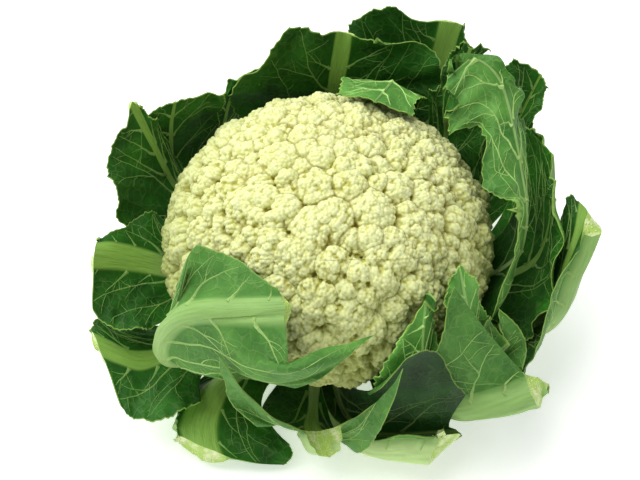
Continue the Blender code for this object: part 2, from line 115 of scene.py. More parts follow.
class Term:
    """One output of a shader node. Arithmetic on terms adds their Math nodes."""

    def __init__(self, net: "Net", socket: bpy.types.NodeSocket) -> None:
        """Wraps a socket of the net's material."""
        self.net = net
        self.socket = socket

    def _math(self, operation: str, first: Any, second: Any) -> "Term":
        """A Math node of one operation on two terms or numbers."""
        return self.net.node("ShaderNodeMath", {"operation": operation}, {0: first, 1: second})

    def __add__(self, other: Any) -> "Term":
        """This and another."""
        return self._math("ADD", self, other)

    def __radd__(self, other: Any) -> "Term":
        """A number and this."""
        return self._math("ADD", other, self)

    def __sub__(self, other: Any) -> "Term":
        """This less another."""
        return self._math("SUBTRACT", self, other)

    def __rsub__(self, other: Any) -> "Term":
        """A number less this."""
        return self._math("SUBTRACT", other, self)

    def __mul__(self, other: Any) -> "Term":
        """This times another."""
        return self._math("MULTIPLY", self, other)

    def __rmul__(self, other: Any) -> "Term":
        """A number times this."""
        return self._math("MULTIPLY", other, self)

    def at_most(self, other: Any) -> "Term":
        """The lesser of this and another."""
        return self._math("MINIMUM", self, other)

    def at_least(self, other: Any) -> "Term":
        """The greater of this and another."""
        return self._math("MAXIMUM", self, other)

    def rise(self, start: Any, end: Any) -> "Term":
        """0 up to one value, 1 from another, and smooth between them."""
        limits = {0: self, 1: start, 2: end, 3: 0.0, 4: 1.0}
        return self.net.node("ShaderNodeMapRange", {"interpolation_type": "SMOOTHSTEP"}, limits)


class Net:
    """The node tree of one material."""

    SCATTER_COLOURS = (1.0, 0.9, 0.4)
    SCATTER_REACH = 0.002

    def __init__(self, name: str) -> None:
        """Starts a material that holds a Principled shader and nothing else."""
        self.material = bpy.data.materials.new(name)
        self.material.use_nodes = True
        self.tree = self.material.node_tree
        self.shader = self.tree.nodes["Principled BSDF"]

    def node(self, kind: str, settings: dict[str, Any], inputs: dict[Any, Any], output: Any = 0) -> Term:
        """Adds a node.

        Args:
            kind: Blender's name for the type of node.
            settings: Its settings, set before its sockets.
            inputs: The value or the term of each socket, by name or number.
            output: The socket that the term stands for.
        """
        made = self.tree.nodes.new(kind)
        for name, value in settings.items():
            setattr(made, name, value)
        for key, value in inputs.items():
            self.feed(made.inputs[key], value)
        return Term(self, made.outputs[output])

    def feed(self, socket: bpy.types.NodeSocket, value: Any) -> None:
        """Links a term to a socket, or sets the socket's own value."""
        if isinstance(value, Term):
            self.tree.links.new(value.socket, socket)
        else:
            socket.default_value = value

    def blend(self, share: Any, low: Any, high: Any) -> Term:
        """The colour low where the share is 0 and high where it is 1."""
        return self.node("ShaderNodeMix", {"data_type": "RGBA"}, {0: share, 6: low, 7: high}, 2)

    def tinted(self, colour: Any, factor: Any) -> Term:
        """A colour made darker or lighter by a factor."""
        grey = self.node("ShaderNodeCombineColor", {}, {0: factor, 1: factor, 2: factor})
        settings = {"data_type": "RGBA", "blend_type": "MULTIPLY"}
        return self.node("ShaderNodeMix", settings, {0: 1.0, 6: colour, 7: grey}, 2)

    def attribute(self, name: str) -> tuple[Term, Term, Term]:
        """The three numbers that a mesh keeps at each point under a name."""
        vector = self.node("ShaderNodeAttribute", {"attribute_name": name}, {}, "Vector")
        parts = self.tree.nodes.new("ShaderNodeSeparateXYZ")
        self.tree.links.new(vector.socket, parts.inputs[0])
        return tuple(Term(self, socket) for socket in parts.outputs)

    def place(self, x: Any, y: Any, z: Any) -> Term:
        """A vector from three terms or numbers."""
        return self.node("ShaderNodeCombineXYZ", {}, {0: x, 1: y, 2: z})

    def position(self) -> Term:
        """The place of a point on the piece, in metres."""
        return self.node("ShaderNodeTexCoord", {}, {}, "Object")

    def noise(self, where: Term, scale: float, detail: float = 2.0) -> Term:
        """Cloudy noise from 0 to 1."""
        return self.node("ShaderNodeTexNoise", {}, {"Vector": where, "Scale": scale, "Detail": detail}, "Fac")

    def cells(self, where: Term, scale: float, feature: str = "F1") -> Term:
        """Distances in a field of irregular cells."""
        inputs = {"Vector": where, "Scale": scale}
        return self.node("ShaderNodeTexVoronoi", {"feature": feature}, inputs, "Distance")

    def finish(self, colour: Any, roughness: Any, height: Any = None, depth: float = 0.0003,
               sheen: float = 0.5, subsurface: float = 0.0) -> bpy.types.Material:
        """Feeds the shader.

        Args:
            colour: Base colour.
            roughness: From 0, polished, to 1.
            height: Relief from 0 to 1, or None.
            depth: Height of the relief in metres.
            sheen: How strongly it reflects, 0.5 being usual.
            subsurface: How much light goes in and comes out beside where it went in.
        """
        self.feed(self.shader.inputs["Base Color"], colour)
        self.feed(self.shader.inputs["Roughness"], roughness)
        self.feed(self.shader.inputs["Specular IOR Level"], sheen)
        if subsurface:
            self.feed(self.shader.inputs["Subsurface Weight"], subsurface)
            self.feed(self.shader.inputs["Subsurface Radius"], self.SCATTER_COLOURS)
            self.feed(self.shader.inputs["Subsurface Scale"], self.SCATTER_REACH)
        if height is not None:
            bump = self.node("ShaderNodeBump", {}, {"Strength": 1.0, "Distance": depth, "Height": height})
            self.tree.links.new(bump.socket, self.shader.inputs["Normal"])
        return self.material


# Numbers along curves and grids


def smooth_rise(values: Any, start: float, end: float) -> Any:
    """0 up to one value, 1 from another, and smooth between them, as the shaders' rise has it."""
    share = np.clip((np.asarray(values, float) - start) / (end - start), 0, 1)
    return share * share * (3 - 2 * share)


def read_smoothly(points: Any, at: Any) -> np.ndarray:
    """Reads a row of points, or of rows, at fractions of its length, smoothly.

    Args:
        points: Evenly spaced points along the first axis.
        at: Values from 0 to 1.

    Returns:
        One entry for each value, with the shape of a point.
    """
    points = np.asarray(points, float)
    spans = len(points) - 1
    along = np.clip(np.asarray(at, float) * spans, 0, spans - 1e-9)
    index = along.astype(int)
    t = (along - index).reshape(-1, *[1] * (points.ndim - 1))
    ends = np.concatenate([2 * points[:1] - points[1:2], points, 2 * points[-1:] - points[-2:-1]])
    a, b, c, d = ends[index], ends[index + 1], ends[index + 2], ends[index + 3]
    return 0.5 * (2 * b + (c - a) * t + (2 * a - 5 * b + 4 * c - d) * t**2 + (3 * b - a - 3 * c + d) * t**3)


def wander(seed: int, at: Any) -> np.ndarray:
    """A smooth random line between -1 and 1 that turns about once in each unit."""
    at = np.asarray(at, float)
    lowest = int(np.floor(at.min())) - 2
    knots = np.random.default_rng(seed).uniform(-1, 1, int(np.ceil(at.max())) - lowest + 4)
    place_in = at - lowest
    index = np.clip(place_in.astype(int), 1, len(knots) - 3)
    t = place_in - index
    t = t * t * (3 - 2 * t)
    return knots[index] * (1 - t) + knots[index + 1] * t


def teeth(seed: int, at: Any) -> np.ndarray:
    """A row of uneven saw teeth, 0 to 1, one in each unit, that lean towards rising values."""
    at = np.asarray(at, float) + 0.35 * wander(seed + 1, np.asarray(at, float) * 0.7)
    index = np.floor(at).astype(int)
    sizes = np.random.default_rng(seed).uniform(0.25, 1, index.max() - index.min() + 1)
    part = at - index
    return sizes[index - index.min()] * np.where(part < 0.78, part / 0.78, (1 - part) / 0.22)


def from_round(head_place: np.ndarray) -> np.ndarray:
    """Azimuth in degrees, radius and height as x, y, z."""
    azimuth = np.radians(head_place[..., 0])
    radius = head_place[..., 1]
    return np.stack([radius * np.cos(azimuth), radius * np.sin(azimuth), head_place[..., 2]], axis=-1)


def unit(vectors: np.ndarray) -> np.ndarray:
    """The vectors at a length of 1."""
    return vectors / np.maximum(np.linalg.norm(vectors, axis=-1, keepdims=True), 1e-9)


def sheet_normals(sheet: Grid) -> Grid:
    """Unit normals of a sheet of points, on the leaf's outer side."""
    return unit(np.cross(np.gradient(sheet, axis=0), np.gradient(sheet, axis=1)))


def halved(values: Grid) -> Grid:
    """A grid with a new row and column between each two."""
    rows = np.empty((2 * len(values) - 1, *values.shape[1:]))
    rows[::2] = values
    rows[1::2] = (values[1:] + values[:-1]) / 2
    grid = np.empty((len(rows), 2 * values.shape[1] - 1, *values.shape[2:]))
    grid[:, ::2] = rows
    grid[:, 1::2] = (rows[:, 1:] + rows[:, :-1]) / 2
    return grid


def spread(values: Grid, smooth: bool) -> Grid:
    """A grid with each value raised to its neighbours' largest, or, if smooth, blurred."""
    padded = np.pad(values, 1, mode="edge")
    rows, cols = values.shape
    around = [padded[i:i + rows, j:j + cols] for i in range(3) for j in range(3)]
    return np.mean(around, axis=0) if smooth else np.max(around, axis=0)


def grid_quads(rows: int, cols: int, first: int = 0, turned: bool = False) -> np.ndarray:
    """The four-sided faces of a grid of points.

    Args:
        rows: Rows of points.
        cols: Points in a row.
        first: Number of the grid's first point.
        turned: Whether the faces look the other way.
    """
    index = np.arange(rows * cols).reshape(rows, cols) + first
    corners = [index[:-1, :-1], index[1:, :-1], index[1:, 1:], index[:-1, 1:]]
    if turned:
        corners.reverse()
    return np.stack(corners, axis=-1).reshape(-1, 4)


class Piece:
    """A mesh in the making: points in millimetres, faces, and numbers kept at each point."""

    def __init__(self, name: str) -> None:
        """Starts an empty piece."""
        self.name = name
        self.points: list[np.ndarray] = []
        self.faces: list[np.ndarray] = []
        self.kept: dict[str, list[np.ndarray]] = {}
        self.count = 0

    def add(self, points: np.ndarray, faces: list[np.ndarray], **kept: np.ndarray) -> int:
        """Adds points, faces that number them from the piece's first point, and their kept numbers.

        Returns:
            The number of the first point added.
        """
        first = self.count
        self.points.append(points.reshape(-1, 3))
        self.faces += faces
        for name, values in kept.items():
            self.kept.setdefault(name, []).append(values.reshape(-1, 3))
        self.count += len(self.points[-1])
        return first

    def make(self, material: bpy.types.Material, slot: str, replaced: str, crease: float | None = None,
             flat: int = 0) -> bpy.types.Object:
        """Makes the object, which rides on the body and stands for a CAD node.

        Args:
            material: Its finish.
            slot: The record's material slot, which is not used.
            replaced: The CAD node that it stands for.
            crease: Angle in degrees over which an edge stays sharp, or None.
            flat: How many of the last faces are shaded flat.
        """
        corners = np.concatenate([face.reshape(-1) for face in self.faces]).astype(np.int32)
        sizes = np.concatenate([np.full(len(face), face.shape[1]) for face in self.faces])
        mesh = bpy.data.meshes.new(self.name)
        mesh.vertices.add(self.count)
        mesh.vertices.foreach_set("co", (np.concatenate(self.points) * MM).astype(np.float32).ravel())
        mesh.loops.add(len(corners))
        mesh.loops.foreach_set("vertex_index", corners)
        mesh.polygons.add(len(sizes))
        mesh.polygons.foreach_set("loop_start", np.concatenate([[0], np.cumsum(sizes)[:-1]]).astype(np.int32))
        mesh.update(calc_edges=True)
        mesh.validate()
        for name, parts in self.kept.items():
            layer = mesh.attributes.new(name, "FLOAT_VECTOR", "POINT")
            layer.data.foreach_set("vector", np.concatenate(parts).astype(np.float32).ravel())
        mesh.shade_smooth()
        if flat:
            mesh.polygons.foreach_set("use_smooth", np.arange(len(sizes)) < len(sizes) - flat)
        if crease is not None:
            mesh.set_sharp_from_angle(angle=math.radians(crease))
        mesh.materials.append(material)
        obj = bpy.data.objects.new(self.name, mesh)
        bpy.context.scene.collection.objects.link(obj)
        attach(obj, BODY)
        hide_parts(replaced)
        LOG.info("%s: %d points, %d faces", self.name, self.count, len(sizes))
        return obj


# Finishes


@dataclass(frozen=True)
class VeinHabit:
    """How the side veins of a leaf grow: where they leave the rib, how they turn, and how they branch."""

    spacing: float = 17.0
    start_angle: float = 54.0
    turn: float = 0.85
    wander: float = 7.0
    step: float = 1.7
    thick: float = 1.7
    thin: float = 0.45
    twig_every: float = 11.0
    twig_length: float = 12.0
    twig_thick: float = 0.45
    twig_thin: float = 0.22
    fork_angle: float = 36.0
    apart: float = 1.9


@dataclass(frozen=True)
class LeafFinish:
    """A leaf: dark and veined inside, paler outside, with a pale rib, a bright rim and wet cuts."""

    inner_dark: tuple = linear(16, 54, 10)
    inner_light: tuple = linear(46, 114, 24)
    outer_dark: tuple = linear(50, 104, 38)
    outer_light: tuple = linear(102, 160, 66)
    vein_inner: tuple = linear(124, 160, 82)
    vein_outer: tuple = linear(158, 194, 110)
    rib_inner: tuple = linear(132, 174, 76)
    rib_outer: tuple = linear(144, 184, 102)
    rib_base: tuple = linear(196, 224, 148)
    rim: tuple = linear(164, 198, 96)
    # The cut faces' own pale colours, made paler still as painted light, for cuts that the key light barely
    # reaches.
    cut: tuple = linear(226, 246, 158)
    cut_fibre: tuple = linear(182, 216, 106)
    cut_core: tuple = linear(240, 250, 194)

    def make(self, name: str) -> bpy.types.Material:
        """The material, which reads what the leaves keep at their points."""
        net = Net(name)
        is_vein, beyond, edge = net.attribute("vein")
        from_rib, along, lengthwise = net.attribute("rib")
        outside, is_cut, tone = net.attribute("kind")
        where = net.position()
        cloudy = net.noise(where, 60.0, 3.0)
        mottled = net.noise(where, 420.0, 2.0)
        streak_place = net.place(from_rib * 3.2, along * 0.035, outside)
        streaks = net.noise(streak_place, 2.2, 3.0)
        warp = net.node("ShaderNodeTexNoise", {}, {"Vector": where, "Scale": 130.0, "Detail": 1.0}, "Color")
        bent = net.node("ShaderNodeVectorMath", {"operation": "SCALE"}, {0: warp, 3: 0.006})
        warped = net.node("ShaderNodeVectorMath", {"operation": "ADD"}, {0: where, 1: bent})
        network = net.cells(warped, 190.0, "DISTANCE_TO_EDGE")
        threads = (1 - network.rise(0.0, 0.1)) * beyond.rise(1.0, 6.0)
        by_rib = 1 - from_rib.rise(0.82, 1.15)
        shade = (cloudy * 1.6 + mottled * 0.5 - 0.55).at_least(0.0).at_most(1.0)
        inner = net.blend(shade, self.inner_dark, self.inner_light)
        outer = net.blend(shade, self.outer_dark, self.outer_light)
        inner = net.blend(threads * 0.14, inner, self.vein_inner)
        outer = net.blend(threads * 0.16, outer, self.vein_outer)
        blade = net.blend(outside, inner, outer)
        rib = net.blend(outside, self.rib_inner, self.rib_outer)
        rib = net.blend((1 - lengthwise.rise(0.15, 0.75)) * 0.8, rib, self.rib_base)
        rib = net.tinted(rib, 0.72 + streaks * 0.56)
        skin = net.blend(by_rib, blade, rib)
        skin = net.blend((1 - edge.rise(0.15, 0.75)) * 0.6, skin, self.rim)
        skin = net.blend(is_vein, skin, net.blend(outside, self.vein_inner, self.vein_outer))
        # The leaf's tone, which on the inner faces also carries their painted light and shade.
        skin = net.tinted(skin, tone)
        fibres = net.cells(where, 760.0).rise(0.05, 0.6)
        ring = net.noise(where, 190.0, 3.0)
        cut = net.blend(fibres, self.cut, self.cut_fibre)
        cut = net.blend(ring.rise(0.45, 0.7) * 0.8, cut, self.cut_core)
        colour = net.blend(is_cut, skin, cut)
        roughness = 0.52 - is_cut * 0.2 - by_rib * 0.1 + mottled * 0.1
        height = threads * 0.3 + mottled * 0.3 + streaks * by_rib * 0.9 - fibres * is_cut * 0.7
        return net.finish(colour, roughness, height, depth=0.0006, sheen=0.24)


@dataclass(frozen=True)
class CurdFinish:
    """The head: cream buds, yellower between them, olive brown painted shade in the clefts and olive painted
    shade towards its foot.
    """

    crown: tuple = linear(238, 243, 180)
    # Yellower colour for the hollows between buds and grains: partly the head's own colour, partly painted
    # shade.
    between: tuple = linear(212, 210, 108)
    # Painted shade for the clefts between florets.
    cleft: tuple = linear(146, 134, 44)
    # Painted shade of the leaves over the head's lower part, and partly its own greener colour there.
    foot: tuple = linear(146, 160, 70)
    shaded_foot_heights: tuple[float, float] = (0.056, 0.122)

    def make(self, name: str) -> bpy.types.Material:
        """The material, which reads how deep in a cleft each point lies."""
        net = Net(name)
        floret, bud, grain = net.attribute("relief")
        where = net.position()
        cloudy = net.noise(where, 38.0, 2.0)
        specks = net.noise(where, 2600.0, 2.0)
        # The hollows between grains and buds take the yellower colour, partly painted shade.
        low = (1 - grain.rise(0.05, 0.6)) * 0.5 + (1 - bud.rise(0.0, 0.4)) * 0.4
        colour = net.blend((low + cloudy * 0.3 - 0.15).at_least(0.0).at_most(1.0), self.crown, self.between)
        # Painted shade: the clefts between florets darkened to olive brown.
        deep = ((1 - floret.rise(0.0, 0.5)) * 0.8 + (1 - bud.rise(0.0, 0.16)) * 0.25).at_most(1.0)
        colour = net.blend(deep, colour, self.cleft)
        height = net.node("ShaderNodeSeparateXYZ", {}, {0: where}, 2)
        # Darker and olive towards the foot: painted shade of the leaves round it, and partly its own greener
        # colour.
        colour = net.blend((1 - height.rise(*self.shaded_foot_heights)) * 0.75, colour, self.foot)
        colour = net.tinted(colour, 0.93 + specks * 0.1)
        return net.finish(colour, 0.62 - grain * 0.06, specks, depth=0.00012, sheen=0.3, subsurface=0.22)


@dataclass(frozen=True)
class StumpFinish:
    """The stem: pale green skin with scars, and a dry cut face with a ring round its pith."""

    skin: tuple = linear(178, 196, 134)
    scar: tuple = linear(132, 128, 84)
    flesh: tuple = linear(222, 222, 184)
    ring: tuple = linear(184, 178, 120)

    def make(self, name: str) -> bpy.types.Material:
        """The material, which reads whether a point is on the cut and how far from its middle it is."""
        net = Net(name)
        is_cut, out, _ = net.attribute("stump")
        where = net.position()
        cloudy = net.noise(where, 90.0, 3.0)
        fibres = net.cells(where, 620.0)
        ring = out.rise(0.62, 0.72) * (1 - out.rise(0.76, 0.86))
        skin = net.blend(cloudy.rise(0.5, 0.72), self.skin, self.scar)
        face = net.blend(ring * 0.8, self.flesh, self.ring)
        face = net.tinted(face, 0.82 + fibres * 0.3)
        return net.finish(net.blend(is_cut, skin, face), 0.6, cloudy * 0.6 + fibres * 0.4, depth=0.0005)


# Leaves


class Ending(Enum):
    """How a leaf ends away from the stem."""

    CUT = "cut across with a knife"
    TORN = "its own tip, or a torn edge"


@dataclass(frozen=True)
class Frill:
    """How a leaf's edge departs from the plain one, in millimetres, how light the leaf is, and the painted
    light and shade on its inner face.
    """

    tooth: float = 1.3
    tooth_pitch: float = 4.5
    lobe: float = 3.0
    lobe_pitch: float = 17.0
    ruffle: float = 2.4
    ruffle_pitch: float = 14.0
    pucker: float = 0.7
    tips: tuple[tuple[float, float], ...] = ((-1, 0), (1, 0))
    left: tuple[tuple[float, float], ...] = ((0, 0), (1, 0))
    right: tuple[tuple[float, float], ...] = ((0, 0), (1, 0))
    tone: float = 1.0
    # A factor on the inner face's colour: above 1 it paints light on it, below 1 painted shade.
    inner_light_and_shade: float = 1.0
    ending: Ending = Ending.TORN
    rib: tuple[float, float] = (0.8, 0.3)
    pale_stalk: float = 0.0
    veins: VeinHabit = field(default_factory=VeinHabit)


@dataclass(frozen=True)
class LeafForm:
    """One leaf: its midrib and its two margins as curves round the head, from the stem to the end."""

    name: str
    rib: list
    left: list
    right: list
    width: tuple[float, float]
    depth: tuple[float, float]
    belly: tuple[float, float] = (0, 0)
    bow: tuple = (0, 0)
    wave: tuple[float, float, float] = (1.5, 3, 0)
    bevel: float = 0.6
    rows: int = 11
    cols: int = 9
    hollow: bool = False
    frill: Frill = field(default_factory=Frill)

    def rib_depth(self, down: Any) -> Any:
        """How thick the rib is at shares of the way from the stem to the end."""
        return self.depth[0] + (self.depth[1] - self.depth[0]) * down

    def rib_columns(self) -> int:
        """How many columns of the coarse grid lie on half the rib."""
        return 2 if self.cols // 2 > 3 else 1


class LeafSheet:
    """A leaf's middle surface as in the CAD model: a coarse grid, bent clear of the pieces inside it."""

    BLADE = 0.9
    RIB_INNER_SHARE = 0.1
    RIB_OUTER_SHARE = 0.9
    RIB_ROUNDNESS = 0.6
    LEAST_RIB_SHARE = 0.02
    MOST_RIB_SHARE = 0.85
    BELLY_FULL = 0.4
    WAVES_START = 0.3
    WAVES_GROWTH = 0.4
    GAP = 0.5
    LEAST_LEAN = 0.35
    FLOOR_CLEARANCE = 1.2
    REACH = 14.0
    LIFT_ROUNDS = 6
    LIFT_ENOUGH = 0.02
    LIFT_FADE = 0.6
    STALK_HELD = 0.15
    STALK_EASING = 0.15
    CURVE_SAMPLES = 200

    def __init__(self, form: LeafForm) -> None:
        """Lays the plain sheet out from the leaf's curves and waves its margins."""
        self.form = form
        down = np.linspace(0, 1, form.rows)
        rib = read_smoothly(form.rib, self._even_stations(form.rib, form.rows))
        half_width = (form.width[0] + (form.width[1] - form.width[0]) * down) / 2
        halves = []
        for side, points, belly, bow in ((1, form.left, form.belly[0], form.bow[0]),
                                         (-1, form.right, form.belly[1], form.bow[1])):
            margin = read_smoothly(self._with_base(points, side), down)
            blade_width = np.linalg.norm(from_round(margin) - from_round(rib), axis=1)
            shares = self._column_shares(half_width, blade_width, form.cols // 2)
            blade = self._half_blade(rib, margin, shares, belly, bow)
            halves.append((blade, shares * blade_width[:, None], shares))
        (left, left_far, left_share), (right, right_far, right_share) = halves
        self.points = from_round(np.concatenate([left[:, :0:-1], right], axis=1))
        self.far = np.concatenate([left_far[:, :0:-1], right_far], axis=1) / half_width[:, None]
        self.share = np.concatenate([-left_share[:, :0:-1], right_share], axis=1)
        self.half_width = half_width
        self._wave()
        self.inner, self.outer = self._thickness()

    def _even_stations(self, points: list, count: int) -> np.ndarray:
        """Values that read a curve at evenly spaced places along its length."""
        fine = np.linspace(0, 1, self.CURVE_SAMPLES)
        steps = np.linalg.norm(np.diff(from_round(read_smoothly(points, fine)), axis=0), axis=1)
        length = np.concatenate([[0], np.cumsum(steps)])
        return np.interp(np.linspace(0, length[-1], count), length, fine)

    def _with_base(self, points: list, side: int) -> list:
        """A margin's points with its start, beside the foot of the rib, put first."""
        azimuth, radius, height = self.form.rib[0]
        offset = math.degrees(self.form.width[0] / 2 / radius)
        return [(azimuth + side * offset, radius, height)] + points

    def _column_shares(self, half_width: np.ndarray, blade_width: np.ndarray, columns: int) -> Grid:
        """Where the columns of a half blade stand: some across the rib, the rest spread to the margin."""
        on_rib = self.form.rib_columns()
        edge = np.clip(half_width / blade_width, self.LEAST_RIB_SHARE, self.MOST_RIB_SHARE)
        rib_part = np.linspace(0, 1, on_rib + 1)[None, :] * edge[:, None]
        rest = np.linspace(0, 1, columns - on_rib + 1)[None, 1:]
        return np.hstack([rib_part, edge[:, None] + rest * (1 - edge[:, None])])

    def _half_blade(self, rib: Grid, margin: Grid, shares: Grid, belly: float, bow: Any) -> Grid:
        """The sheet from the rib to a margin, its middle moved by the belly and, at the cut, the bow."""
        middle = (rib + margin) / 2
        down = np.linspace(0, 1, len(rib))
        middle[:, 1] += belly * np.clip(down / self.BELLY_FULL, 0, 1)
        middle += down[:, None] ** 3 * np.asarray(bow)
        t = shares[..., None]
        return (1 - t) ** 2 * rib[:, None] + 2 * t * (1 - t) * middle[:, None] + t**2 * margin[:, None]

    def _wave(self) -> None:
        """Waves the margins in and out."""
        height, waves, phase = self.form.wave
        down = np.linspace(0, 1, self.form.rows)[:, None]
        growth = np.clip((down - self.WAVES_START) / self.WAVES_GROWTH, 0, 1)
        swing = np.sin(2 * math.pi * (waves * down + phase) + np.sign(self.share))
        out = height * growth * self.share**2 * swing
        self.points = self.points + sheet_normals(self.points) * out[..., None]

    def _thickness(self) -> tuple[Grid, Grid]:
        """How far the inner and the outer face stand off the middle surface."""
        down = np.linspace(0, 1, self.form.rows)[:, None]
        depth = self.form.rib_depth(down)
        swell = np.clip(1 - self.far**2, 0, 1) ** self.RIB_ROUNDNESS
        inner = self.BLADE / 2 + self.RIB_INNER_SHARE * depth * swell
        return inner, self.BLADE / 2 + self.RIB_OUTER_SHARE * depth * swell

    def ways_out(self, points: Grid) -> Grid:
        """The directions it is lifted in: along its normals, or, if hollow, out from the head's axis."""
        if not self.form.hollow:
            return sheet_normals(points)
        return unit(points * (1, 1, 0))

    def settle(self, earlier: BVHTree) -> None:
        """Moves the sheet out, but for its stalk, until it lies over the earlier pieces."""
        down = np.linspace(0, 1, len(self.points))[:, None]
        free = np.clip((down - self.STALK_HELD) / self.STALK_EASING, 0, 1)
        for _ in range(self.LIFT_ROUNDS):
            fine = halved(halved(self.points))
            way = self.ways_out(fine)
            lean = (way * sheet_normals(fine)).sum(axis=-1)
            depth = np.where(lean > 0, halved(halved(self.inner)), halved(halved(self.outer)))
            depth = depth / np.maximum(abs(lean), self.LEAST_LEAN)
            lift = np.zeros(fine.shape[:2])
            for index in np.ndindex(*lift.shape):
                start = Vector(fine[index] + way[index] * self.REACH)
                reach = self.REACH + depth[index] + self.GAP
                _, _, _, distance = earlier.ray_cast(start, Vector(-way[index]), reach)
                if distance is not None:
                    lift[index] = reach - distance
            if lift.max() <= self.LIFT_ENOUGH:
                break
            lift = spread(spread(lift, smooth=False), smooth=False)[::4, ::4]
            around = spread(spread(lift, smooth=False) * self.LIFT_FADE, smooth=True)
            lift = np.maximum(lift, around) * free
            self.points = self.points + self.ways_out(self.points) * lift[..., None]
            low = self.points[..., 2] + sheet_normals(self.points)[..., 2] * self.outer
            self.points[..., 2] += np.maximum(self.FLOOR_CLEARANCE - low, 0)


